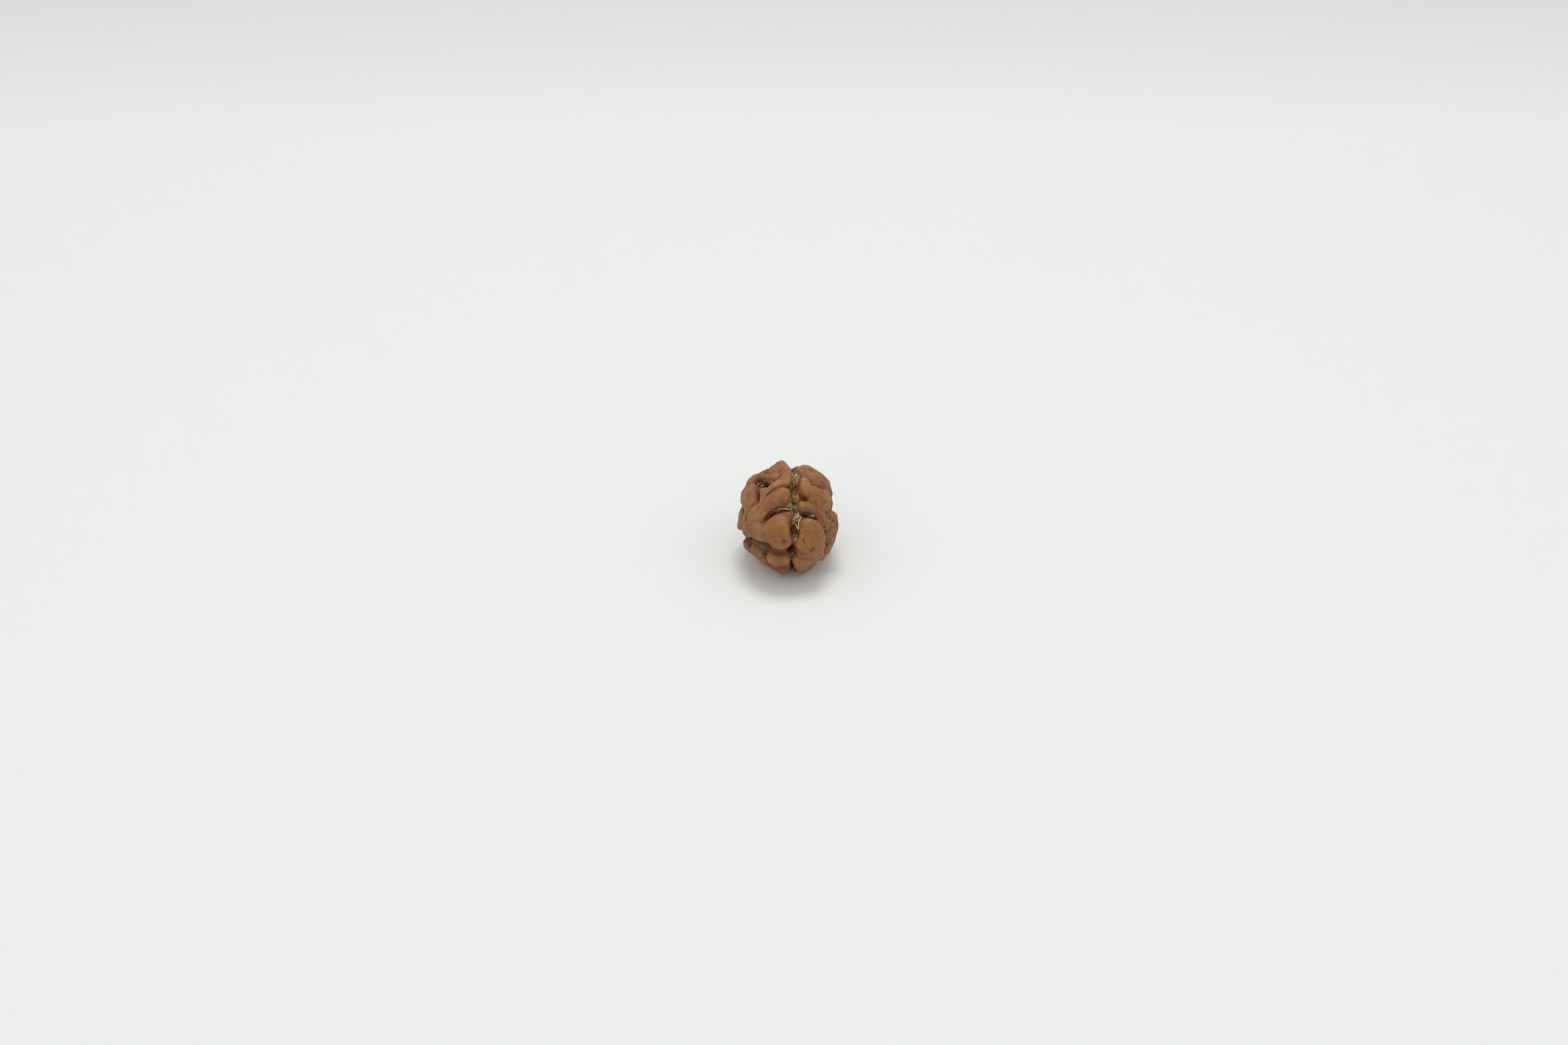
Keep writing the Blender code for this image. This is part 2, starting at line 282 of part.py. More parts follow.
# balls of radius (w2 + h2) / 2h, whose caps of half width w and height h line up into a ridge
def ridgeBalls(knots):
    p, n, w, h = strokePath(knots[1:], 1 - crestLean, 0.0)
    cap = np.minimum(h, w + capLimit)
    radius = (w * w + cap * cap) / (2 * cap)
    return [(p + n * (h * crestLean - radius)[:, None], radius)]


# balls of radius w along the furrow's floor, stacked outwards so that the walls stay open
def furrowBalls(knots):
    p, n, w, depth = strokePath(knots[1:], 0.0, mouthRise)
    floor = p - n * (mouthRise + depth)[:, None]
    return [(floor + n * (w + layerStep * i)[:, None], w * (1 + layerGrowth * i)) for i in range(knots[0])]


# distance from points to a chain of tapered capsules
def chainDistance(p, centres, radii):
    best = np.full(len(p), 1e9)
    for a, b, ra, rb in zip(centres[:-1], centres[1:], radii[:-1], radii[1:]):
        along = b - a
        t = np.clip((p - a) @ along / max(along @ along, 1e-9), 0, 1)
        gap = p - a - t[:, None] * along
        np.minimum(best, np.sqrt((gap * gap).sum(1)) - ra - (rb - ra) * t, out=best)
    return best


# the lower of a and b, rounded where they are within k of each other
def softMin(a, b, k):
    t = np.clip(0.5 + 0.5 * (b - a) / k, 0, 1)
    return b + (a - b) * t - k * t * (1 - t)


# about the distance to the smooth body: k0 (k0 - 1) / k1
def bodyDistance(p):
    weights = bodyWeights(p[:, 2], 0.0)
    k0 = np.sqrt((weights * p * p).sum(1))
    k1 = np.linalg.norm(weights * p, axis=1)
    return k0 * (k0 - 1) / np.maximum(k1, 1e-9)


# pushes points about by waves 3 to 6 mm long, so that no ridge is a plain tube
def wander(p):
    hidden = np.clip(-(p @ frames[0][2]) / 4, 0, 1)
    size = warpSeen + (warpHidden - warpSeen) * hidden
    x, y, z = 2 * np.pi * p.T / np.array([[4.6], [5.2], [6.1]])
    push = np.stack([np.sin(y + 1.0) + 0.6 * np.sin(1.7 * z + 0.3),
                     np.sin(z + 2.1) + 0.6 * np.sin(1.7 * x + 1.4),
                     np.sin(x + 4.0) + 0.6 * np.sin(1.7 * y + 2.2)], 1)
    return p + size[:, None] * push


# every stroke as (chains of balls, blend, +1 raised or -1 cut)
def allStrokes():
    raised = [(ridgeBalls(k), k[0], 1) for k in ridges.values()]
    return raised + [(furrowBalls(k), furrowBlend, -1) for k in furrows.values()]


# which directions can meet each stroke: those within a cone round one of its balls
def reachOf(strokes, d):
    reach = []
    for chains, _, _ in strokes:
        hit = np.zeros(len(d), bool)
        for centres, radii in chains:
            far = np.linalg.norm(centres, axis=1)
            cone = np.cos(np.arcsin(np.minimum(1, (radii + 1) / far)))
            for centre, length, limit in zip(centres, far, cone):
                hit |= d @ (centre / length) > limit
        reach.append(hit)
    return reach


# distance from the points of the still active directions to the seed's surface
def seedDistance(strokes, reach, p, active):
    p = wander(p)
    f = bodyDistance(p)
    place = np.full(len(reach[0]), -1)
    place[active] = np.arange(len(active))
    for (chains, blend, sign), hit in zip(strokes, reach):
        i = place[hit]
        i = i[i >= 0]
        if len(i) == 0:
            continue
        gap = np.minimum.reduce([chainDistance(p[i], *chain) for chain in chains])
        f[i] = softMin(f[i], gap, blend) if sign > 0 else -softMin(-f[i], gap, blend)
    return f


# how far out the surface lies in each direction, found by marching inwards from 14 mm
def surfaceRadius(strokes, d):
    reach = reachOf(strokes, d)
    r = np.full(len(d), 14.0)
    active = np.arange(len(d))
    for _ in range(40):
        f = seedDistance(strokes, reach, d[active] * r[active, None], active)
        r[active] -= np.clip(f, -0.3, 3.0) * 0.92
        active = active[np.abs(f) > 0.004]
        if len(active) == 0:
            break
    return r


# unit directions and squares of a cube's six grids, blown up into a ball and joined at their edges
def cubeGrid(count):
    t = np.tan(np.linspace(-1, 1, count + 1) * np.pi / 4)
    u, v = np.meshgrid(t, t, indexing="ij")
    one = np.ones_like(u)
    sides = [(one, u, v), (-one, v, u), (v, one, u), (u, -one, v), (u, v, one), (v, u, -one)]
    p = np.concatenate([np.stack(side, -1).reshape(-1, 3) for side in sides])
    p /= np.linalg.norm(p, axis=1)[:, None]
    i, j = np.meshgrid(np.arange(count), np.arange(count), indexing="ij")
    corner = (i * (count + 1) + j).ravel()
    square = np.stack([corner, corner + count + 1, corner + count + 2, corner + 1], 1)
    squares = np.concatenate([square + side * (count + 1) ** 2 for side in range(6)])
    _, first, index = np.unique(np.round(p, 7), axis=0, return_index=True, return_inverse=True)
    return p[first], index.reshape(-1)[squares]


def gridEdges(squares):
    pairs = np.concatenate([squares[:, [0, 1]], squares[:, [1, 2]], squares[:, [2, 3]], squares[:, [3, 0]]])
    return np.unique(np.sort(pairs, axis=1), axis=0)


# moves each point a share of the way to the middle of its neighbours
def towardsNeighbours(p, edges, share):
    a, b = edges.T
    count = np.bincount(edges.ravel(), minlength=len(p))
    total = [np.bincount(a, p[b, k], len(p)) + np.bincount(b, p[a, k], len(p)) for k in range(3)]
    return p + share * (np.stack(total, 1) / count[:, None] - p)


# fills the foot of each cliff until no edge climbs more than steepest times its length
def limitSlope(d, r, edges):
    a, b = edges.T
    step = steepest * np.linalg.norm(d[a] - d[b], axis=1) * 0.5 * (r[a] + r[b])
    for _ in range(8):
        np.maximum.at(r, a, r[b] - step)
        np.maximum.at(r, b, r[a] - step)
    return r


# the seed as points and squares, in mm about its middle
def seedSurface(count):
    strokes = allStrokes()
    d, squares = cubeGrid(count)
    edges = gridEdges(squares)
    r = surfaceRadius(strokes, d)
    for _ in range(2):  # slides the grid so that steep walls get their share of points
        p = towardsNeighbours(d * r[:, None], edges, 0.5)
        d = p / np.linalg.norm(p, axis=1)[:, None]
        r = surfaceRadius(strokes, d)
    r = limitSlope(d, r, edges)
    p = towardsNeighbours(d * r[:, None], edges, 0.3)
    p[:, 2] = np.maximum(p[:, 2], -restLevel)
    return p, squares


def newObject(name, p, faces):
    mesh = bpy.data.meshes.new(name)
    mesh.from_pydata((p * mm).tolist(), [], faces.tolist())
    obj = bpy.data.objects.new(name, mesh)
    bpy.context.scene.collection.objects.link(obj)
    return obj


# the same object with fewer triangles, its rest spots made exactly flat and its foot at the origin
def thinned(obj, triangles):
    fewer = obj.modifiers.new("fewer", "DECIMATE")
    fewer.ratio = triangles / (2 * len(obj.data.polygons))
    fewer.use_collapse_triangulate = True
    graph = bpy.context.evaluated_depsgraph_get()
    mesh = bpy.data.meshes.new_from_object(obj.evaluated_get(graph))
    obj.modifiers.clear()
    p = np.empty(3 * len(mesh.vertices))
    mesh.vertices.foreach_get("co", p)
    p = p.reshape(-1, 3) / mm
    p[p[:, 2] < 0.03 - restLevel, 2] = -restLevel
    middle = (p.min(0) + p.max(0)) / 2
    p -= [middle[0], middle[1], -restLevel]
    mesh.vertices.foreach_set("co", (p * mm).ravel())
    mesh.update()
    print("moved by", -middle[0], -middle[1], restLevel)
    obj.data = mesh
    return obj


def seedMaterial():
    material = bpy.data.materials.new("seed shell")
    material.use_nodes = True
    shader = material.node_tree.nodes["Principled BSDF"]
    shader.inputs["Base Color"].default_value = (0.30, 0.15, 0.07, 1)
    shader.inputs["Roughness"].default_value = 0.55
    return material


def main():
    for old in list(bpy.data.objects):
        bpy.data.objects.remove(old)
    p, squares = seedSurface(gridCount)
    seed = thinned(newObject("seed", p, squares), wantedTriangles)
    seed.data.materials.clear()
    seed.data.materials.append(seedMaterial())
    print("triangles", len(seed.data.polygons))


main()
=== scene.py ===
# One rudraksha seed: a dried, waxy stone with the straw of its old pulp still caught in the seams.
import bpy
import numpy as np
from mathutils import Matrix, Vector


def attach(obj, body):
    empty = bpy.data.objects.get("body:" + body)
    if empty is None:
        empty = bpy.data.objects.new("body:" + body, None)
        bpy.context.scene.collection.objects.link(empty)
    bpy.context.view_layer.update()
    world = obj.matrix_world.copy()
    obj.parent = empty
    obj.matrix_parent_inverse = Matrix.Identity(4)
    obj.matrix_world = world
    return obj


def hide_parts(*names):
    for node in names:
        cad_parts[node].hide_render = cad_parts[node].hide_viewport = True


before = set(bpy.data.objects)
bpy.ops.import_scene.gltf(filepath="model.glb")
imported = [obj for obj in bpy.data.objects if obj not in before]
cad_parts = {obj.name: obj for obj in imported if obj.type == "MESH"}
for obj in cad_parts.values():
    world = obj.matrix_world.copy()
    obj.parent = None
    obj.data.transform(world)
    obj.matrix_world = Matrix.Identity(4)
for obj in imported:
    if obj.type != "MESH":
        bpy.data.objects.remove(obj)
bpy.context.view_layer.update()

print("stage 1: the packed seed is loaded")
mm = 0.001
seedMiddle = np.array([-0.0233, -0.0454, 10.3])  # where the seed's middle stands in the frame, in mm

# The seed. All lengths are in mm about its middle, x to the right, y away from the open pit, z up.
seedShape = {
    "halfWidth": 8.6,  # x, of the smooth body under the ridges
    "halfLength": 10.3,  # y, from pole to pole
    "rise": 9.7,  # z, above the middle
    "drop": 9.4,  # z, below the middle
    "restLevel": 10.3,  # the low ridges are worn flat this far below the middle
    "capLimit": 0.3,  # a ridge's top is cut from a ball, at most this much taller than half its width
    "crestLean": 0.45,  # share of a ridge's height that stands above the line its knots were read on
    "mouthRise": 0.8,  # furrow knots were read this far above the body
    "layerStep": 0.9,  # between the stacked troughs of a furrow
    "layerGrowth": 0.12,  # how much wider each trough is than the one below it
    "knotStep": 0.45,  # between the sampled points of a stroke
    "thinnest": 0.05,  # the least half width between two knots
    "furrowBlend": 0.25,  # how softly a furrow's rim is rounded
    "steepest": 4.5,  # the most that an edge may climb for its length
    "slopePasses": 8,  # times that the edges are gone through for it
    "slides": 2,  # times that the grid is slid towards the steep walls
    "slideShare": 0.5,  # of the way to the neighbours' mean that a slide goes
    "ease": 0.3,  # the same for the last smoothing
    "gridCount": 128,  # squares along each edge of the cube that is blown up into the seed
}

# Turn and tilt of the views in which the knots were placed, with 1 for the view's far side:
# the photograph's view, its far side, from behind, from the right, from the left.
viewAngles = [(0, 35), (0, 35), (180, 20), (90, 0), (270, 0)]

# A knot is (across, up, half width, height or depth, view), in the view named by its last number,
# the photograph's where there is none. Heights stand over the smooth body, depths go below it.
# each ridge: how softly it runs into its neighbours, then its knots from end to end
ridges = {
    "padLeft": [0.8, (-5.2, -5.6, 2.4, 0.65, 1), (-3, -8.4, 2.6, 0.7, 1), (-2.6, -10.4, 2.4, 0.75, 1)],
    "padRight": [0.8, (5.2, -5.6, 2.4, 0.65, 1), (3.4, -8.4, 2.6, 0.7, 1), (3.4, -10.4, 2.4, 0.75, 1)],
    "saddleLeft": [0.6, (-8.3, 1.6, 1.3, 0.9), (-8.6, 0.2, 1.4, 1.1), (-8.8, -1.5, 1.4, 1.3)],
    "saddleRight": [0.6, (6.9, 3, 1.3, 1.1), (7.2, 1.6, 1.2, 1), (7.4, 0.4, 0.9, 0.9)],
    "peak": [0.35, (-1.6, 10.75, 1.25, 2), (-0.85, 10.1, 1.2, 1.9), (-0.25, 9.1, 1.15, 1.7),
        (-0.3, 8, 1.25, 1.6), (-0.7, 7.3, 1.2, 1.6)],
    "peakDome": [0.35, (-1.7, 10.5, 1.2, 1.9), (-2.3, 10, 1, 1.6)],
    "band": [0.35, (-0.45, 7.8, 1.25, 1.6), (-1.4, 7.2, 1.35, 1.6), (-2.7, 6.4, 1.1, 1.5),
        (-3.5, 5.8, 0.8, 1.35), (-4.05, 5, 0.5, 1.2)],
    "wedge": [0.3, (-5.2, 5.3, 0.7, 1.25), (-4.9, 4.6, 0.95, 1.3), (-5, 3.8, 0.8, 1.2), (-5.3, 2.9, 0.5, 1)],
    "wedgeTop": [0.3, (-5.4, 5.4, 0.5, 1.2), (-4.5, 5.4, 0.55, 1.2)],
    "teardrop": [0.35, (-0.9, 5, 1.4, 1.85), (-1.6, 4.6, 1.9, 1.95), (-2.8, 3.6, 1.8, 1.85),
        (-4, 2.5, 1.6, 1.7), (-5, 1.2, 1.4, 1.55), (-5.8, 0, 1.1, 1.4), (-6.3, -1, 0.9, 1.25)],
    "leftBand": [1, (-6.2, 2.3, 0.9, 0.95), (-7, 1, 1.2, 1.3), (-7.5, -0.4, 1.4, 1.45),
        (-7.2, -2, 1.6, 1.55)],
    "saddleFill": [0.5, (-6.4, 1.8, 1, 0.75), (-7, 0.7, 1.4, 1.05), (-7.3, -0.6, 1.4, 1.2),
        (-6.4, -1.6, 1.4, 1.3)],
    "outerLeftFill": [0.9, (-8.2, 5.2, 0.8, 1.55), (-8.3, 3.8, 0.9, 1.5), (-8.2, 2.4, 0.9, 1.2)],
    "outerLeft": [0.3, (-7.2, 6, 1.05, 1.8), (-7.2, 5, 1.3, 1.8), (-7.3, 3.8, 1.35, 1.65),
        (-7.7, 2.6, 1.25, 1.45), (-8, 1.4, 1.1, 1.3)],
    "outerLeftBack": [0.9, (-8.7, 6.4, 0.9, 1.8), (-9.1, 5.2, 1, 1.95), (-9, 3.9, 1, 1.8),
        (-8.7, 2.6, 0.9, 1.3)],
    "shoulder": [0.35, (-8.7, 6.8, 1, 1.8), (-8.2, 7.9, 1.1, 2.2), (-7.2, 8.7, 1.15, 2),
        (-6.2, 8.7, 1.15, 1.6), (-4.9, 8.9, 1.25, 1.4), (-3.4, 9.2, 1.3, 1.5), (-2.2, 9.5, 1.3, 1.5)],
    "bumpLeft1": [0.5, (-9.2, 0.9, 0.6, 1.1), (-9.2, 0.2, 0.7, 1.1)],
    "bumpLeft2": [0.5, (-9.6, -0.7, 0.9, 1.6), (-9.9, -1.8, 1, 1.95)],
    "lowerLeftLobe": [0.4, (-8.3, -1.8, 0.9, 1.6), (-8.4, -2.9, 1.2, 1.8)],
    "bigLeft": [0.6, (-2, -0.8, 1.7, 1.9), (-2, -2.4, 2.1, 2.35), (-1.9, -4.1, 2.1, 2.3),
        (-1.6, -4.8, 2, 2.1)],
    "bigLeftEdge": [0.5, (-0.5, -0.6, 0.8, 1.5), (-0.6, -1.8, 1, 1.9), (-0.6, -3.2, 1.05, 2),
        (-0.5, -4.4, 1, 1.9)],
    "bigLeftFoot": [0.6, (-1.6, -4.2, 1.9, 2), (-0.4, -4.8, 1.4, 1.9)],
    "bigLeftSide": [0.7, (-2.9, -2.6, 2.4, 2.3), (-4.4, -3.2, 2.2, 2.1), (-6.2, -3.1, 1.7, 1.8),
        (-7.6, -2.8, 1.3, 1.65)],
    "plate": [0.7, (2.4, 9.7, 0.9, 1.3), (3.3, 9.8, 1.3, 1.4), (4.6, 9.3, 1.6, 1.5), (5.9, 8.4, 1.8, 1.7),
        (7.3, 7.3, 1.6, 1.9), (7.7, 6.3, 1.2, 1.7)],
    "plateFace": [0.9, (3.7, 9, 1.3, 1.35), (4.9, 8.3, 1.6, 1.6), (6.1, 7.5, 1.7, 1.75),
        (7.3, 6.5, 1.3, 1.75)],
    "plateFill": [1, (3.9, 9.7, 1.1, 1.25), (5.3, 9, 1.3, 1.35), (6.6, 8.1, 1.3, 1.55), (7.5, 7.2, 1.1, 1.7)],
    "plateBump": [0.2, (1.9, 10.1, 0.5, 1), (2.1, 10, 0.5, 1)],
    "behindRight": [0.3, (8.8, 6.2, 0.9, 1.9), (8.8, 5.2, 0.9, 1.6)],
    "sLobe": [0.35, (3.3, 7.3, 1.2, 1.8), (3.4, 6.5, 1.3, 1.95), (4.1, 5.6, 1.5, 2), (5.4, 5, 1.65, 2.05),
        (6.7, 4.4, 1.6, 2), (7.6, 3.6, 1.4, 1.8), (7.7, 2.4, 1.2, 1.6)],
    "sLobeFoot": [0.8, (4.9, 3.3, 0.9, 1.2), (5.9, 2.7, 1, 1.35), (6.9, 2, 0.9, 1.3)],
    "sLobeFlank": [0.5, (0, 6, 1.2, 1.5, 3), (0, 4.9, 1.3, 1.35, 3), (0.2, 3.7, 1.2, 0.8, 3),
        (0.4, 2.6, 0.9, 0.35, 3)],
    "rightLobe": [0.4, (3.1, 2.35, 1.15, 1.65), (4, 2.15, 1.15, 1.6), (4.7, 1.7, 0.9, 1.35)],
    "hookRidge": [0.35, (6.9, 1.2, 0.7, 1.15), (7.2, 0.3, 0.75, 1.4), (7.45, -0.8, 0.65, 1.55),
        (7.6, -1.9, 0.5, 1.5)],
    "hookHollow": [0.6, (5.3, 1.4, 0.9, 0.65), (6.1, 0.9, 1, 0.85), (6.6, 0, 0.8, 1.05), (6.9, -1, 0.6, 1.2)],
    "seamFloor": [0.15, (1.4, 8.6, 0.75, 0.85), (1.45, 6.5, 0.8, 0.9), (1.4, 4, 0.8, 0.9),
        (1.25, 2, 0.8, 0.9), (1.35, 0, 0.8, 0.95), (1.35, -1.6, 0.8, 1.2), (1.35, -2.8, 0.85, 1.4),
        (1.3, -3.8, 0.8, 1.45), (1.2, -4.8, 0.5, 1.1)],
    "bigRight": [0.6, (4.1, -1.8, 1.6, 1.9), (4.6, -3, 2.2, 2.3), (4.3, -4.6, 2.2, 2.25),
        (3.7, -5.8, 1.7, 2)],
    "bigRightEdge": [0.5, (3.3, -1.4, 0.85, 1.5), (3.3, -2.8, 0.95, 1.8), (3.2, -4.2, 1, 1.9)],
    "bigRightFoot": [0.6, (4, -4.6, 2, 2.1), (2.9, -5.3, 1.5, 1.9)],
    "bigRightSide": [0.9, (5.3, -2.9, 2.3, 2.25), (6.2, -4.2, 2.1, 2.1), (6.3, -5.8, 1.9, 2.05),
        (6, -7.4, 1.9, 2)],
    "lowRightJoin": [0.5, (2.4, -7.1, 0.8, 1.55), (3.7, -7.3, 1, 1.75), (5, -7.1, 1.2, 1.9)],
    "lowRight": [0.5, (2.4, -8.9, 1.4, 1.9), (3.6, -9.1, 1.9, 1.95), (4.9, -8.7, 2, 1.9),
        (5.9, -7.7, 1.8, 1.85)],
    "bottomRight": [0.3, (1.9, -10.7, 0.8, 1.8), (2.6, -11.3, 1, 2.1), (3.9, -11.1, 1.1, 2),
        (5.1, -10.3, 1, 1.7)],
    "bottomRightBump": [0.3, (7.3, -8.5, 0.9, 2.2), (7.5, -8.7, 0.9, 2.2)],
    "footFloor": [0.4, (0.9, -9.6, 0.8, 0.6), (1, -10.4, 0.9, 1.1), (1.3, -11.1, 0.9, 1.5)],
    "lowLeft": [0.4, (-0.6, -8.8, 1.2, 1.6), (-1.8, -9, 1.5, 1.9), (-3.1, -8.6, 1.4, 1.8)],
    "bottomLeft": [0.3, (-2.6, -10.4, 1, 1.4), (-1.2, -11, 1.1, 1.9), (-0.3, -10.6, 0.8, 1.5)],
    "lowerLeftRidge": [0.3, (-6.8, -6.6, 1.05, 1.6), (-6, -7.4, 1.1, 1.6), (-5.3, -8.5, 1, 1.5),
        (-4.3, -9.5, 0.9, 1.4), (-3, -10.3, 0.9, 1.4)],
    "leftDark": [0.3, (-8.3, -4.9, 0.75, 1.6), (-8.6, -6.1, 0.9, 1.95), (-7.9, -7, 0.8, 1.6)],
    "outerRidge": [0.3, (8.1, 1, 0.45, 1.2), (8.9, 0.5, 0.7, 1.6), (9.5, -0.7, 0.85, 1.7),
        (9.7, -2.2, 0.95, 1.9), (9.3, -4, 1, 1.85), (8.8, -5.7, 1, 1.9), (8.4, -7.1, 0.9, 2.1)],
    "outerRidgeFace": [1, (8.3, -0.6, 0.7, 0.7), (8.6, -1.8, 1.1, 1.1), (8.6, -3.3, 1.3, 1.25),
        (8.3, -4.9, 1.2, 1.3), (8, -6.2, 1, 1.3)],
    "outerRidgeFill": [0.8, (9.05, -1.6, 0.7, 1.4), (9.05, -2.6, 0.9, 1.5), (8.9, -3.8, 0.9, 1.5)],
    "outerRidgeBud": [0.15, (7.8, 0.7, 0.3, 1), (7.9, 0.1, 0.3, 0.95)],
    "backLowerLeftD": [0.4, (-1.8, -6.4, 1.4, 1.2, 1), (-3, -7.9, 1.5, 1.2, 1), (-4.6, -8.6, 1.3, 1.2, 1)],
    "backLowerLeftE": [0.4, (-1, -8, 1.2, 1.2, 1), (-1.5, -9.7, 1.3, 1.3, 1)],
    "backLowerLeftF": [0.4, (-7.3, -6.4, 1.1, 1.3, 1), (-6, -7.9, 1.1, 1.3, 1)],
    "backLowerRightD": [0.4, (2.6, -6.6, 1.4, 1.2, 1), (3.8, -7.9, 1.4, 1.2, 1), (5.6, -8.4, 1.2, 1.2, 1)],
    "backLowerRightE": [0.4, (1.9, -7.9, 1.1, 1.2, 1), (2.7, -9.5, 1.3, 1.3, 1), (4.6, -10, 1.1, 1.3, 1)],
    "peakBack": [0.35, (1.5, 6.1, 1.3, 1.8, 2), (1.9, 5.1, 1.3, 1.7, 2), (2.2, 4.1, 1.2, 1.7, 2),
        (3.3, 3.2, 1, 1.5, 2)],
    "plateRim": [0.9, (3.3, 10.5, 0.9, 1.4), (5, 9.8, 1, 1.45), (6.6, 8.9, 1, 1.8), (8, 7.7, 1, 2)],
    "shoulderLow": [0.5, (-3.6, 8.6, 1.1, 1.3), (-2.2, 8.5, 1.2, 1.3)],
    "lowRightRim": [0.5, (2.4, -9.6, 1.2, 1.8), (4, -9.8, 1.3, 1.8), (5.4, -9.1, 1.3, 1.7)],
    "backRoofRightA": [0.4, (0.9, 3.4, 1, 1.6, 2), (0.9, 1.8, 1.2, 1.8, 2), (1.5, 0.3, 1.5, 1.85, 2),
        (3, -0.5, 1.5, 1.8, 2), (4.7, -0.3, 1.3, 1.6, 2)],
    "backRoofRightB": [0.35, (2.6, 1.8, 1.1, 1.6, 2), (4.2, 1.4, 1.3, 1.7, 2), (5.7, 0.8, 1.2, 1.6, 2),
        (6.9, -0.3, 1.2, 1.5, 2)],
    "backRoofRightC": [0.35, (4.3, 4.1, 1.1, 1.1, 2), (5.6, 3.4, 1.3, 1.3, 2), (6.9, 2.3, 1.3, 1.5, 2),
        (7.8, 0.9, 1.2, 1.5, 2)],
    "backSideRight": [0.35, (8.9, 1.2, 1, 1.5, 2), (8.6, -0.4, 1.1, 1.6, 2)],
    "backPoleRight": [0.4, (0.9, -1.9, 1.3, 1.8, 2), (2.3, -2.1, 1.1, 1.5, 2)],
    "backRoofLeftA": [0.35, (-2.4, 3.7, 0.9, 1.2, 2), (-3.7, 4.2, 1.2, 1.3, 2), (-5.2, 3.8, 1.3, 1.4, 2),
        (-6.4, 2.7, 1.2, 1.3, 2)],
    "backRoofLeftB": [0.35, (-1.4, 2.7, 1, 0.8, 2), (-1.6, 1.7, 1.2, 1.3, 2), (-2.9, 1.1, 1.5, 1.8, 2),
        (-4.4, 1.1, 1.4, 1.7, 2), (-5.8, 0.4, 1.3, 1.6, 2), (-7, -0.4, 1.1, 1.4, 2)],
    "backRoofLeftC": [0.35, (-3.3, 2.6, 0.8, 1, 2), (-4.6, 2.4, 0.8, 1.1, 2)],
    "backRoofLeftD": [0.35, (-7.6, 2, 1.1, 0.5, 2), (-8, 0.8, 1.2, 0.7, 2), (-8.6, -0.3, 1, 1, 2)],
    "backPoleLeft": [0.4, (-1.2, -0.2, 1, 1.6, 2), (-1.3, -1.6, 1.4, 1.8, 2), (-2.9, -1.3, 1.2, 1.6, 2)],
    "backLowRightA": [0.4, (1.4, -4.9, 1.3, 1.9, 2), (2.9, -4.7, 1.6, 1.9, 2), (4.5, -4.2, 1.5, 1.8, 2),
        (6.2, -3.5, 1.4, 1.6, 2), (7.8, -3.4, 1.2, 1.5, 2)],
    "backLowRightB": [0.35, (1.3, -7, 1.2, 1.7, 2), (2.6, -7.1, 1.5, 1.8, 2), (4.2, -6.7, 1.4, 1.7, 2),
        (5.7, -5.8, 1.3, 1.6, 2), (7.1, -5.4, 1.1, 1.5, 2)],
    "backLowRightC": [0.35, (1.3, -8.9, 1.2, 1.4, 2), (2.7, -9, 1.4, 1.4, 2), (4.3, -8.6, 1.4, 1.5, 2),
        (5.8, -7.7, 1.2, 1.5, 2)],
    "backLowLeftA": [0.4, (-1.5, -5.3, 1.4, 1.9, 2), (-3, -4.6, 1.6, 1.9, 2), (-4.6, -4.2, 1.4, 1.7, 2),
        (-6.2, -3.2, 1.3, 1.6, 2), (-7.9, -2.7, 1.2, 1.5, 2)],
    "backLowLeftB": [0.35, (-1.6, -7.5, 1.3, 1.7, 2), (-3, -7.1, 1.5, 1.8, 2), (-4.6, -6.5, 1.4, 1.7, 2),
        (-6.1, -5.4, 1.3, 1.6, 2), (-7.5, -4.8, 1.1, 1.5, 2)],
    "backLowLeftC": [0.35, (-1.7, -9.3, 1.2, 1.4, 2), (-3.3, -9, 1.4, 1.4, 2), (-5, -8.2, 1.3, 1.5, 2),
        (-6.5, -7.1, 1.1, 1.5, 2)],
    "sideRightA": [0.35, (5, 7.4, 1.2, 1.4, 3), (3.7, 6.3, 1.3, 1.5, 3), (2.9, 4.8, 1.1, 1.1, 3)],
    "sideRightB": [0.35, (4.7, 4.5, 1.1, 1.5, 3), (3.7, 3.1, 1.1, 0.95, 3), (2.7, 1.9, 0.9, 0.45, 3)],
    "sideRightC": [0.35, (4.8, 1.9, 1.1, 1.4, 3), (3.5, 0.5, 1, 0.8, 3), (1.8, 0.1, 0.9, 0.5, 3)],
    "sideRightD": [0.35, (5.4, -2.9, 1.2, 1.6, 3), (3.6, -2.5, 1.3, 1.6, 3), (1.9, -2.4, 1.2, 1.5, 3),
        (0.5, -1.2, 1, 1.3, 3)],
    "sideRightE": [0.35, (4.6, -4.9, 1.2, 1.6, 3), (2.8, -4.5, 1.3, 1.6, 3), (1.1, -4.4, 1.3, 1.5, 3),
        (-0.5, -3.5, 1, 1.3, 3)],
    "sideRightF": [0.35, (3.8, -6.7, 1.2, 1.5, 3), (2, -6.4, 1.3, 1.6, 3), (0.2, -6.1, 1.2, 1.5, 3),
        (-1.4, -5.4, 1, 1.4, 3)],
    "sideRightG": [0.35, (2.2, -8.3, 1.2, 1.3, 3), (0.4, -8, 1.3, 1.4, 3), (-1.6, -7.4, 1.2, 1.4, 3),
        (-3, -6.6, 1, 1.3, 3)],
    "sideLeftA": [0.35, (-5.2, -3.2, 1.2, 1.6, 4), (-3.4, -2.8, 1.3, 1.6, 4), (-1.6, -3.4, 1.3, 1.6, 4),
        (0, -4.3, 1, 1.2, 4)],
    "sideLeftB": [0.35, (-4.8, -5.2, 1.2, 1.6, 4), (-2.9, -5, 1.3, 1.6, 4), (-1.1, -5.5, 1.2, 1.5, 4),
        (0.5, -6.3, 1, 1.3, 4)],
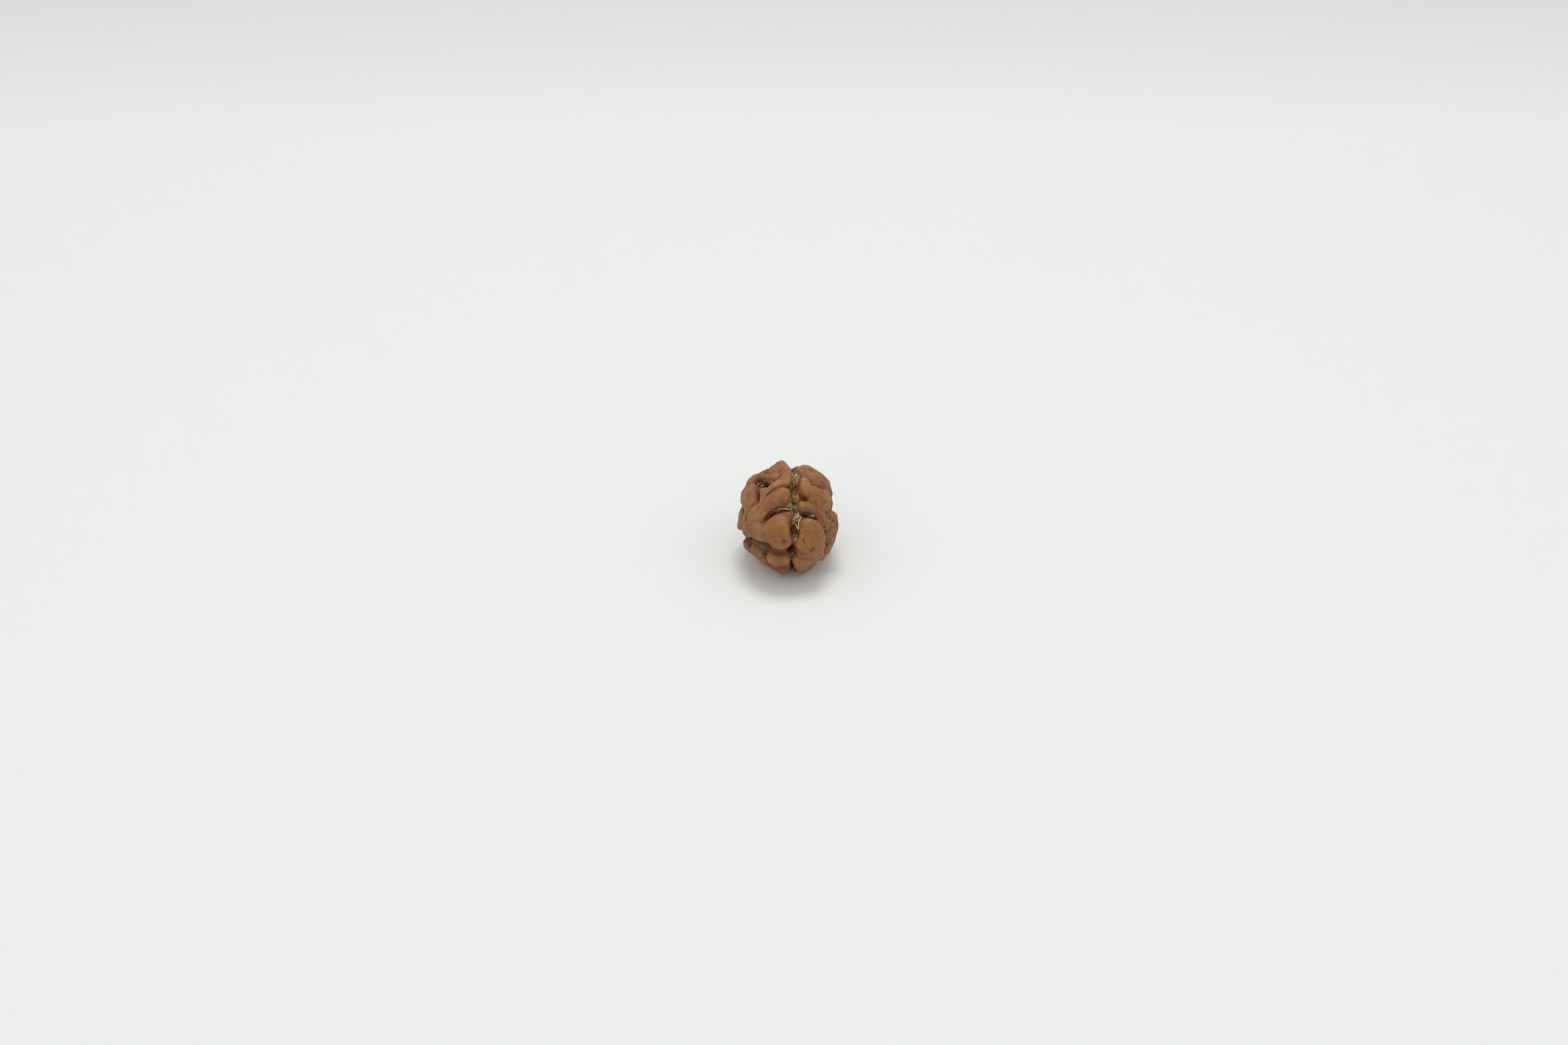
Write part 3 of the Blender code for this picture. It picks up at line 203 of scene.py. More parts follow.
    "sideLeftC": [0.35, (-4, -6.9, 1.2, 1.5, 4), (-2.2, -7, 1.3, 1.5, 4), (-0.4, -7.5, 1.2, 1.4, 4),
        (1.2, -8, 1, 1.3, 4)],
    "sideLeftD": [0.4, (-3.4, 0.3, 1.1, 1.4, 4), (-1.8, -0.3, 1.1, 1.5, 4), (-0.3, -1.3, 1.1, 1.5, 4)],
}

# each furrow: how many times its trough is stacked outwards, then its knots
furrows = {
    "topSeam": [3, (1, 10, 0.35, 0.5), (1.35, 9.1, 0.45, 0.7), (1.55, 8.3, 0.58, 0.85),
        (1.5, 7.2, 0.65, 0.9), (1.4, 6, 0.7, 0.95), (1.45, 5, 0.7, 0.9), (1.4, 4, 0.65, 0.9),
        (1.25, 2.8, 0.65, 0.85), (1.25, 1.4, 0.65, 0.9), (1.4, 0.2, 0.65, 0.9), (1.4, -1, 0.72, 1.05),
        (1.35, -2.4, 0.75, 1.3), (1.3, -3.6, 0.68, 1.42), (1.2, -4.6, 0.35, 1.1), (1.1, -5.6, 0.2, 0.4)],
    "leftBranch": [2, (0.8, 1.7, 0.4, 0.75), (-0.6, 1.8, 0.5, 0.75), (-1.8, 1.6, 0.5, 0.75),
        (-3, 1.1, 0.45, 0.6), (-4.4, -0.1, 0.35, 0.6)],
    "rightBranch": [2, (1.9, 0.8, 0.35, 0.8), (3.4, 0.65, 0.45, 0.8), (4.9, 0.2, 0.4, 0.8),
        (6, -0.5, 0.25, 0.9)],
    "polePit": [3, (0.95, -6.7, 0.75, 1.8), (0.9, -7.1, 0.9, 2.4), (1, -7.55, 0.45, 2.2)],
    "polePitLeft": [2, (0.6, -7.4, 0.6, 1), (-0.4, -7.3, 0.45, 0.3), (-1.9, -7.1, 0.25, -0.5),
        (-3.4, -7.1, 0.3, 0)],
    "polePitRight": [2, (1.2, -7.3, 0.6, 0.8), (1.9, -7.3, 0.3, 0.8), (3, -7.55, 0.15, 1.2),
        (4.3, -7.8, 0.1, 1.4)],
    "bottomSeam": [3, (0.8, -9.05, 0.25, 0.8), (0.7, -9.5, 0.4, 0.5), (0.75, -10, 0.48, 0.7),
        (1, -10.6, 0.45, 1.3), (1.45, -11.1, 0.4, 1.8), (0.7, -10, 0.45, 0.6, 1), (0.4, -8, 0.45, 0.3, 1),
        (-0.1, -10.3, 0.45, 0.3, 2), (0.1, -8, 0.5, 0.4, 2), (-0.2, -6, 0.5, 0.4, 2),
        (-0.1, -4.6, 0.45, 0.3, 2)],
    "leftPit": [2, (-6.5, 7.3, 0.45, 0.8), (-5.8, 7.15, 0.7, 0.8), (-5, 6.95, 0.8, 0.9),
        (-4.2, 6.85, 0.62, 0.75)],
    "leftPitDown": [3, (-6.15, 6.3, 0.4, 0.5), (-6.05, 5.2, 0.48, 0.6), (-5.95, 4.2, 0.45, 0.6),
        (-5.95, 3.1, 0.3, 0.4)],
    "leftSeam": [3, (-3.6, -6.9, 0.35, 0), (-4.2, -6.7, 0.55, 0.5), (-4.9, -6.1, 0.75, 0.7),
        (-6, -5.3, 0.8, 0.7), (-7.1, -4.8, 0.65, 0.6), (-8.4, -4.3, 0.5, 0.5), (9.2, -2.2, 0.4, 0.3, 2),
        (7.6, -1.7, 0.45, 0.4, 2), (5.8, -1.9, 0.5, 0.5, 2), (4, -2.9, 0.45, 0.4, 2),
        (2.4, -3.3, 0.4, 0.3, 2), (1, -3.5, 0.35, 0.2, 2)],
    "rightSeamBack": [3, (-8.9, -1.5, 0.4, 0.2, 2), (-7.4, -1.6, 0.4, 0.3, 2), (-5.7, -1.7, 0.45, 0.4, 2),
        (-4, -2.7, 0.5, 0.5, 2), (-2.4, -3.1, 0.4, 0.3, 2), (-1, -3.5, 0.35, 0.2, 2)],
    "topSeamBack": [3, (0.95, 10.4, 0.4, 0.3), (-0.8, 5.2, 0.5, 0.4, 2), (-0.3, 4, 0.5, 0.5, 2),
        (-0.4, 2, 0.45, 0.4, 2), (-0.1, 0, 0.5, 0.5, 2), (-0.2, -2, 0.45, 0.3, 2)],
    "backPit": [3, (-0.1, -3.5, 0.7, 2.4, 2), (0.05, -3.8, 0.6, 2, 2)],
    "sideRightFurrow": [3, (1.9, 5.9, 0.3, -0.4, 3), (1.7, 4.6, 0.4, 0.4, 3), (1.6, 3.2, 0.35, 0.5, 3),
        (1.3, 1.9, 0.3, 0.4, 3), (0.6, 0.7, 0.3, 0.3, 3), (-0.6, -0.2, 0.25, 0.1, 3)],
    "sideRightCutA": [4, (5.9, 5.6, 0.3, 0.2, 3), (4.6, 5.7, 0.3, 0.2, 3), (3.2, 4.3, 0.3, 0.2, 3),
        (2, 3, 0.3, 0.3, 3)],
    "sideRightCutB": [4, (5.8, 3.3, 0.3, 0.2, 3), (4.6, 3.1, 0.3, 0.2, 3), (3.4, 1.8, 0.3, 0.2, 3),
        (2.3, 0.9, 0.3, 0.3, 3)],
    "sideRightBranch": [4, (1.3, 1.9, 0.3, 0.3, 3), (2.4, 0.9, 0.3, 0.3, 3), (3.4, -0.5, 0.3, 0.3, 3)],
    "sUnder": [2, (2.1, 3.9, 0.38, 1), (3, 4, 0.4, 1.1), (4, 3.75, 0.35, 1.15), (4.8, 3.1, 0.25, 1.2)],
    "sSlit": [2, (5.9, 3.1, 0.22, 1), (5.75, 2.5, 0.22, 1)],
    "rightCrevice": [1, (8.4, 0.4, 0.25, 0), (8.3, -0.8, 0.3, 0.3), (8.2, -2.2, 0.3, 0.3),
        (8, -3.8, 0.4, 0.5), (7.8, -5, 0.35, 0.5), (7.7, -6.4, 0.3, 0.3)],
    "shoulderCut": [1, (-4.35, 9.2, 0.1, -1.35), (-3.8, 9.15, 0.16, -1.2), (-3.2, 9.4, 0.1, -1.35)],
}


# right, up and towards the viewer for a turn about z and a tilt, in degrees
def viewFrame(turn, tilt):
    ct, st = np.cos(np.radians(turn)), np.sin(np.radians(turn))
    ce, se = np.cos(np.radians(tilt)), np.sin(np.radians(tilt))
    return np.array([[ct, st, 0], [-st * se, ct * se, ce], [st * ce, -ct * ce, se]])


frames = np.array([viewFrame(turn, tilt) for turn, tilt in viewAngles])


# 1/a2, 1/b2, 1/c2 of the smooth body x2/a2 + y2/b2 + z2/c2 = 1, grown by extra
def bodyWeights(z, extra):
    c = np.where(z >= 0, seedShape["rise"], seedShape["drop"]) + extra
    a = seedShape["halfWidth"] + extra + 0 * c
    b = seedShape["halfLength"] + extra + 0 * c
    return 1 / np.stack([a, b, c], 1) ** 2


# a point over its own length in the body's measure lies on the body
def ontoBody(p, extra):
    weights = bodyWeights(p[:, 2], extra)
    return p / np.sqrt((weights * p * p).sum(1))[:, None]


# the gradient (x/a2, y/b2, z/c2) made one long
def bodyNormal(p, extra):
    n = bodyWeights(p[:, 2], extra) * p
    return n / np.linalg.norm(n, axis=1)[:, None]


# the near (or, for the far side, the far) root of the line through (across, up) of a view with the grown body
def seenPoint(knots, extra):
    view = knots[:, 4].astype(int)
    right, up, near = np.moveaxis(frames[view], 1, 0)
    base = knots[:, :1] * right + knots[:, 1:2] * up
    halves = []
    for level in (1.0, -1.0):  # the upper half's body, then the lower half's
        weights = bodyWeights(level + 0 * knots[:, 0], extra)
        aa = (weights * near * near).sum(1)
        bb = (weights * base * near).sum(1)
        cc = (weights * base * base).sum(1) - 1
        root = np.sqrt(np.maximum(bb * bb - aa * cc, 0))
        w = (-bb + np.where(view == 1, -root, root)) / aa
        halves.append(base + w[:, None] * near)
    p = np.where(halves[0][:, 2:] < 0, halves[1], halves[0])
    return ontoBody(p, extra)


# Catmull-Rom curve through rows of numbers, sampled about every step along its first three columns
def curveThrough(rows, step):
    ends = np.vstack([2 * rows[0] - rows[1], rows, 2 * rows[-1] - rows[-2]])
    out = []
    for p0, p1, p2, p3 in zip(ends[:-3], ends[1:-2], ends[2:-1], ends[3:]):
        count = max(1, int(np.ceil(np.linalg.norm(p2[:3] - p1[:3]) / step)))
        t = (np.arange(count) / count)[:, None]
        out.append(0.5 * (2 * p1 + (p2 - p0) * t + (2 * p0 - 5 * p1 + 4 * p2 - p3) * t ** 2
                          + (3 * p1 - p0 - 3 * p2 + p3) * t ** 3))
    return np.vstack(out + [rows[-1:]])


# knots as rows of so many numbers, the photograph's view, 0, where none is named
def knotRows(knots, columns):
    return np.array([tuple(row) + (0,) * (columns - len(row)) for row in knots], float)


# points, outward normals, half widths and heights along one stroke, on the body grown by share of height
def strokePath(knots, share, level):
    k = knotRows(knots, 5)
    p = seenPoint(k, share * k[:, 3] + level)
    rows = curveThrough(np.hstack([p, k[:, 2:4]]), seedShape["knotStep"])
    width, height = np.maximum(rows[:, 3], seedShape["thinnest"]), rows[:, 4]
    p = ontoBody(rows[:, :3], share * height + level)
    return p, bodyNormal(p, share * height + level), width, height


# a ridge is a row of balls of radius (w2 + h2) / 2h, whose caps are 2w wide and h high
def ridgeBalls(knots):
    p, n, w, h = strokePath(knots[1:], 1 - seedShape["crestLean"], 0.0)
    cap = np.minimum(h, w + seedShape["capLimit"])
    radius = (w * w + cap * cap) / (2 * cap)
    return [(p + n * (h * seedShape["crestLean"] - radius)[:, None], radius)]


# a furrow is rows of balls of radius w along its floor, stacked outwards so that the walls stay open
def furrowBalls(knots):
    p, n, w, depth = strokePath(knots[1:], 0.0, seedShape["mouthRise"])
    floor = p - n * (seedShape["mouthRise"] + depth)[:, None]
    step, growth = seedShape["layerStep"], seedShape["layerGrowth"]
    return [(floor + n * (w + step * i)[:, None], w * (1 + growth * i)) for i in range(knots[0])]


# least over the chain of |p - (a + t (b - a))| - (ra + t (rb - ra)), t the nearest place between two balls
def chainDistance(p, centres, radii):
    best = np.full(len(p), 1e9)
    for a, b, ra, rb in zip(centres[:-1], centres[1:], radii[:-1], radii[1:]):
        along = b - a
        t = np.clip((p - a) @ along / max(along @ along, 1e-9), 0, 1)
        gap = p - a - t[:, None] * along
        np.minimum(best, np.sqrt((gap * gap).sum(1)) - ra - (rb - ra) * t, out=best)
    return best


# the lower of a and b, rounded by k t (1 - t) where they are within k of each other
def softMin(a, b, k):
    t = np.clip(0.5 + 0.5 * (b - a) / k, 0, 1)
    return b + (a - b) * t - k * t * (1 - t)


# about the distance to the smooth body: k0 (k0 - 1) / k1
def bodyDistance(p):
    weights = bodyWeights(p[:, 2], 0.0)
    k0 = np.sqrt((weights * p * p).sum(1))
    k1 = np.linalg.norm(weights * p, axis=1)
    return k0 * (k0 - 1) / np.maximum(k1, 1e-9)


# How the ridges are pushed about by sine waves, so that none is a plain tube.
wanderWaves = {
    "seen": 0.07,  # mm, how far on the side that the photograph shows
    "hidden": 0.3,  # and on the other side
    "over": 4,  # mm behind the middle, where the hidden side's wander is in full
    "lengths": (4.6, 5.2, 6.1),  # mm, of the waves along x, y and z
    "phases": (1.0, 2.1, 4.0),
    "fineShare": 0.6,  # of a second set of shorter waves
    "finer": 1.7,  # how many times shorter they are
    "finePhases": (0.3, 1.4, 2.2),
}


# x is pushed by sin(y) + share sin(finer z), and y and z by the same with the letters moved on
def wander(p):
    look = wanderWaves
    hidden = np.clip(-(p @ frames[0][2]) / look["over"], 0, 1)
    size = look["seen"] + (look["hidden"] - look["seen"]) * hidden
    x, y, z = 2 * np.pi * p.T / np.array(look["lengths"])[:, None]
    waves = zip((y, z, x), look["phases"], (z, x, y), look["finePhases"])
    push = [np.sin(a + phase) + look["fineShare"] * np.sin(look["finer"] * b + finePhase)
            for a, phase, b, finePhase in waves]
    return p + size[:, None] * np.stack(push, 1)


# every stroke as (chains of balls, blend, +1 raised or -1 cut)
def allStrokes():
    raised = [(ridgeBalls(k), k[0], 1) for k in ridges.values()]
    return raised + [(furrowBalls(k), seedShape["furrowBlend"], -1) for k in furrows.values()]


# How the surface is looked for along a line.
march = {
    "start": 14.0,  # mm from the middle, outside every ridge
    "share": 0.92,  # of the distance still to go that one step takes
    "longest": 3.0,  # mm, of a step inwards
    "back": 0.3,  # mm, of a step outwards
    "near": 0.004,  # mm from the surface, which is near enough
    "steps": 40,
    "reachMargin": 1,  # mm added round each ball where it is told which directions can meet it
    "sightShare": 0.9,  # the same three for lines of sight, which graze the seed and need more care
    "sightLongest": 2,
    "sightSteps": 70,
}


# a direction d can meet a ball (c, r) only if d . c/|c| > cos(asin((r + margin) / |c|))
def reachOf(strokes, d):
    reach = []
    for chains, _, _ in strokes:
        hit = np.zeros(len(d), bool)
        for centres, radii in chains:
            far = np.linalg.norm(centres, axis=1)
            cone = np.cos(np.arcsin(np.minimum(1, (radii + march["reachMargin"]) / far)))
            for centre, length, limit in zip(centres, far, cone):
                hit |= d @ (centre / length) > limit
        reach.append(hit)
    return reach


# f = softMin of the body and all ridges, then cut by the furrows: f = -softMin(-f, furrow)
def seedDistance(strokes, reach, p, active):
    p = wander(p)
    f = bodyDistance(p)
    place = np.full(len(reach[0]), -1)
    place[active] = np.arange(len(active))
    for (chains, blend, sign), hit in zip(strokes, reach):
        i = place[hit]
        i = i[i >= 0]
        if len(i) == 0:
            continue
        gap = np.minimum.reduce([chainDistance(p[i], *chain) for chain in chains])
        f[i] = softMin(f[i], gap, blend) if sign > 0 else -softMin(-f[i], gap, blend)
    return f


# r(d): how far out the surface lies in direction d, found by marching inwards in steps of share f
def surfaceRadius(strokes, d):
    reach = reachOf(strokes, d)
    r = np.full(len(d), march["start"])
    active = np.arange(len(d))
    for _ in range(march["steps"]):
        f = seedDistance(strokes, reach, d[active] * r[active, None], active)
        r[active] -= np.clip(f, -march["back"], march["longest"]) * march["share"]
        active = active[np.abs(f) > march["near"]]
        if len(active) == 0:
            break
    return r


# where the line of sight through (across, up) of a view first meets the seed: p = base + w near, w falling
def seenSurface(strokes, knots):
    k = knotRows(knots, 3)
    view = k[:, 2].astype(int)
    right, up, near = np.moveaxis(frames[view], 1, 0)
    near = near * np.where(view == 1, -1, 1)[:, None]
    everywhere = [np.ones(len(k), bool)] * len(strokes)
    w = np.full(len(k), march["start"])
    for _ in range(march["sightSteps"]):
        p = k[:, :1] * right + k[:, 1:2] * up + w[:, None] * near
        f = seedDistance(strokes, everywhere, p, np.arange(len(k)))
        w -= march["sightShare"] * np.clip(f, -march["back"], march["sightLongest"])
    return p


# many lines at once: seenSurface of all their knots, cut up again into the lines
def layLines(strokes, lines):
    laid = seenSurface(strokes, [knot for line in lines for knot in line])
    return np.split(laid, np.cumsum([len(line) for line in lines])[:-1])


# least distance from the points to the segments between the knots
def lineDistance(p, knots):
    return chainDistance(p, knots, np.zeros(len(knots)))


# a cube's six grids (tan u, tan v, 1) made one long each: directions, and squares joined along its edges
def cubeGrid(count):
    t = np.tan(np.linspace(-1, 1, count + 1) * np.pi / 4)
    u, v = np.meshgrid(t, t, indexing="ij")
    one = np.ones_like(u)
    sides = [(one, u, v), (-one, v, u), (v, one, u), (u, -one, v), (u, v, one), (v, u, -one)]
    p = np.concatenate([np.stack(side, -1).reshape(-1, 3) for side in sides])
    p /= np.linalg.norm(p, axis=1)[:, None]
    i, j = np.meshgrid(np.arange(count), np.arange(count), indexing="ij")
    corner = (i * (count + 1) + j).ravel()
    square = np.stack([corner, corner + count + 1, corner + count + 2, corner + 1], 1)
    squares = np.concatenate([square + side * (count + 1) ** 2 for side in range(6)])
    _, first, index = np.unique(np.round(p, 7), axis=0, return_index=True, return_inverse=True)
    return p[first], index.reshape(-1)[squares]


def gridEdges(squares):
    pairs = np.concatenate([squares[:, [0, 1]], squares[:, [1, 2]], squares[:, [2, 3]], squares[:, [3, 0]]])
    return np.unique(np.sort(pairs, axis=1), axis=0)


# p + share (mean of the neighbours - p), times over
def smoothed(p, edges, share, times=1):
    a, b = edges.T
    p = p.reshape(len(p), -1)
    count = np.bincount(edges.ravel(), minlength=len(p))[:, None]
    for _ in range(times):
        total = [np.bincount(a, column[b], len(p)) + np.bincount(b, column[a], len(p)) for column in p.T]
        p = p + share * (np.stack(total, 1) / count - p)
    return p


# fills the foot of each cliff: r is at least a neighbour's r less steepest times the edge's length
def limitSlope(d, r, edges):
    a, b = edges.T
    step = seedShape["steepest"] * np.linalg.norm(d[a] - d[b], axis=1) * 0.5 * (r[a] + r[b])
    for _ in range(seedShape["slopePasses"]):
        np.maximum.at(r, a, r[b] - step)
        np.maximum.at(r, b, r[a] - step)
    return r


# the bare seed: directions, radii, points d r(d), squares and edges
def bareSeed(strokes):
    d, squares = cubeGrid(seedShape["gridCount"])
    edges = gridEdges(squares)
    r = surfaceRadius(strokes, d)
    for _ in range(seedShape["slides"]):  # slides the grid so that steep walls get their share of points
        p = smoothed(d * r[:, None], edges, seedShape["slideShare"])
        d = p / np.linalg.norm(p, axis=1)[:, None]
        r = surfaceRadius(strokes, d)
    r = limitSlope(d, r, edges)
    p = smoothed(d * r[:, None], edges, seedShape["ease"])
    r = np.linalg.norm(p, axis=1)
    return p / r[:, None], r, p, squares, edges


# Each noise's random start.
noiseStart = {
    "lumps": 0, "dimples": 1, "grain": 2, "crumble": 5, "crumbleFine": 6, "stripes": 8, "rough": 9,
    "roughFine": 10, "ochre": 20, "rust": 21, "ash": 22, "ragged": 30, "raggedWide": 31, "fibres": 60,
    "crumbs": 61,
}
noiseLattice = 32  # values along each edge before it repeats
noiseShift = 100.37  # lattice steps, so that no place counts below nought


# lattice noise in -1..1: random values on a cubic lattice of that size, eased between by t2 (3 - 2 t)
def lumps(p, size, start):
    values = np.random.default_rng(noiseStart[start]).uniform(-1, 1, (noiseLattice,) * 3)
    q = p / size + noiseShift
    cell = np.floor(q).astype(int)
    t = q - cell
    t = t * t * (3 - 2 * t)
    total = np.zeros(len(p))
    for corner in np.ndindex(2, 2, 2):
        weight = np.where(np.array(corner) == 1, t, 1 - t).prod(1)
        i, j, k = ((cell + corner) % noiseLattice).T
        total += weight * values[i, j, k]
    return total


# How crests, hollows and deep places are told: the mm over which the radius is averaged round about, and
# the mm over or under that mean that count in full.
levels = {"crest": (0.4, 0.12), "hollow": (0.9, 0.9), "deep": (1.9, 1.9)}
levelShare = 0.9  # of the way to the neighbours' mean in each pass of the averaging
bankWidth = 0.4  # mm, over which a furrow's banks lose their darker tone
crestBreak = 0.4  # how far the dimples break up the crests' paleness


# crest = (r - mean r) / full, hollow and deep = (mean r - r) / full, bank = e^(-distance to a furrow / width)
def seedLevels(strokes, p, r, edges):
    edge = np.linalg.norm(p[edges[:, 0]] - p[edges[:, 1]], axis=1).mean()
    paint = {}
    for name, (width, full) in levels.items():
        passes = int(width ** 2 / (0.5 * levelShare * edge ** 2)) + 1
        mean = smoothed(r, edges, levelShare, passes)[:, 0]
        raised = name == "crest"
        paint[name] = np.clip((r - mean) / full, -1, 1) if raised else np.clip((mean - r) / full, 0, 1)
    gap = np.full(len(p), 9.0)
    for chains, _, sign in strokes:
        if sign < 0:
            gap = np.minimum.reduce([gap] + [chainDistance(p, *chain) for chain in chains])
    paint["bank"] = np.exp(-np.maximum(gap, 0) / bankWidth)
    return paint


# Finer relief: each noise by its lump size and height in mm.
relief = {
    "lumps": (2.4, 0.1),
    "dimples": (1.05, 0.075),
    "grain": (0.42, 0.032),
    "crumble": (0.5, 0.25),  # only in the hollows, where dried pulp clings
}

# Growth lines on the inner face of the outer ridge.
stripes = {
    "line": [(8.8, -1), (8.9, -3), (8.6, -5)],  # across, up in the photograph's view
    "reach": 1.1,  # mm to each side
    "spacing": 0.62,
    "height": 0.08,
    "way": (0.1, 0.5, 0.86),  # across the lines
    "waver": 0.35,  # mm
    "waverSize": 1.5,
}

# Patches where the shell is rough: across, up, radius, height of the roughness in mm.
roughPatches = [
    (5.2, 6.8, 1.3, 0.4), (6.6, 7.9, 1.2, 0.14), (8.8, -1.6, 1.7, 0.2), (8.8, -4.2, 1.3, 0.14),
    (-6.6, 0.9, 1.7, 0.1), (5.8, 2.7, 0.7, 0.24), (-6.2, -5.7, 1.1, 0.2), (-4.6, 8.5, 1.3, 0.12),
    (-2.6, -7.2, 0.8, 0.16), (7.6, 2.6, 0.8, 0.15), (-9.3, 0.6, 0.9, 0.14), (3.2, 1.1, 0.8, 0.14),
    (-8.3, 3.6, 1.2, 0.09), (6.4, -0.9, 0.9, 0.12),
]
roughLook = {
    "sizes": (0.62, 0.36),  # mm, coarse and fine
    "fineShare": 0.6,
    "umber": (1.5, 0.15),  # how fast the dips turn to painted umber shade, and how deep they are before they do
    "ash": (1.3, 0.25),  # and the bumps ash
    "most": 0.8,  # of either
}

# Small marks: half width, depth (below nought stands up), stain (painted shade for the umber
# mark and most soot marks), its strength, then points in the photograph's view.
marks = {
    # painted shade in the shoulder's nick and the plate's pit
    "shoulderNick": (0.22, 0.2, "soot", 0.8, (-4.6, 9.15), (-3.9, 9.05), (-3.1, 9.3)),
    "sideScratch": (0.14, 0.09, "rust", 0.8, (6.75, -5.6), (6.6, -6.2), (6.4, -6.9)),
    "platePit": (0.17, 0.24, "soot", 0.35, (4.4, 7.4), (4.6, 7.1)),
    "plateRough": (0.3, -0.09, "ash", 0.6, (4.9, 6.7), (5.5, 6.4), (6.2, 6.5)),
    "platePitUpper": (0.14, 0.12, "rust", 0.5, (4.9, 7.9), (5.1, 7.7)),
    # painted shade in the slits
    "lobeSlit": (0.2, 0.3, "soot", 0.6, (5.75, 3.2), (5.8, 2.7)),
    "lobeSlitLow": (0.14, 0.14, "soot", 0.3, (6.1, 2.5), (6.15, 2.2)),
    "spotLeft": (0.24, 0.12, "soot", 0.75, (-0.9, -4.6), (-0.8, -4.95)),
    "spotRight": (0.17, 0.1, "soot", 0.7, (3.1, -4.55), (3.25, -4.9), (3.35, -5.15)),
    "spotUnderSeam": (0.14, 0.06, "rust", 0.8, (0.35, -4.6), (0.4, -4.75)),
    "creaseUnderLobe": (0.2, 0.14, "rust", 1, (2, -7.1), (3, -7.5), (4.3, -7.7)),
    "creaseOverLobe": (0.16, 0.1, "rust", 0.9, (-0.2, 6.35), (-1.4, 6.35), (-2.6, 6), (-3.7, 5.3)),
    "creaseUnderSeam": (0.15, 0.13, "rust", 0.9, (1.2, -4.7), (1.25, -5.2), (1.2, -5.8)),
    # painted shade in the holes of the seam's pulp
    "seamHoleUpper": (0.3, 0.5, "soot", 0.8, (1.15, 3), (1.25, 2.6)),
    "seamHoleMiddle": (0.25, 0.4, "soot", 0.7, (1.3, 5.75), (1.4, 5.5)),
    "seamHoleLower": (0.3, 0.4, "soot", 0.8, (1.15, -2.4), (1.4, -2.65)),
    # painted shade in the bottom crescent
    "bottomCrescent": (0.55, 0.14, "soot", 1, (0.75, -9.2), (0.65, -9.7), (0.8, -10.3), (1.1, -10.8),
        (1.5, -11.1)),
    # painted shade in umber along the big left lobe's left edge, where it rounds away
    "lobeEdgeLeft": (0.6, 0.09, "umber", 0.45, (-3.9, 0.3), (-4.9, -0.8), (-5.3, -2), (-5.1, -3.3),
        (-4.3, -4.6)),
    # painted shadow on the left pit's floor, under its lip
    "leftPitFloor": (0.6, 0.45, "soot", 1, (-6.3, 7.2), (-5.6, 7.05), (-4.8, 6.85), (-4.15, 6.55)),
    "paleEdgeOuterLow": (0.4, -0.04, "ash", 1, (8.9, -4.2), (9.1, -5), (8.9, -5.8)),
    "paleEdgeLeft": (0.16, -0.09, "ash", 1, (-3.9, 5.2), (-4.2, 3.7), (-5.4, 2.5), (-6.3, 1), (-6.6, 0)),
    "paleEdgeOuter": (0.16, -0.1, "ash", 1, (-8.2, 6.4), (-8.45, 5), (-8.3, 3.6), (-8.4, 2.6)),
    "paleEdgePlate": (0.15, -0.14, "ash", 1, (8.1, 7), (8.15, 6.2), (7.9, 5.5), (7.7, 5.2)),
    "paleEdgeSaddle": (0.2, -0.04, "ash", 0.7, (-8.6, 1.6), (-7.4, 1.9), (-6.4, 1.9)),
    "paleEdgeHook": (0.16, -0.05, "ash", 0.8, (5.1, 2.6), (6.2, 1.6), (7.2, 0.6), (7.4, -0.6), (7.9, -1.6)),
    "paleEdgeLobe": (0.2, -0.03, "ash", 0.6, (6.3, -1), (7.3, -2.4), (7.7, -3.9), (7.3, -5.4)),
}
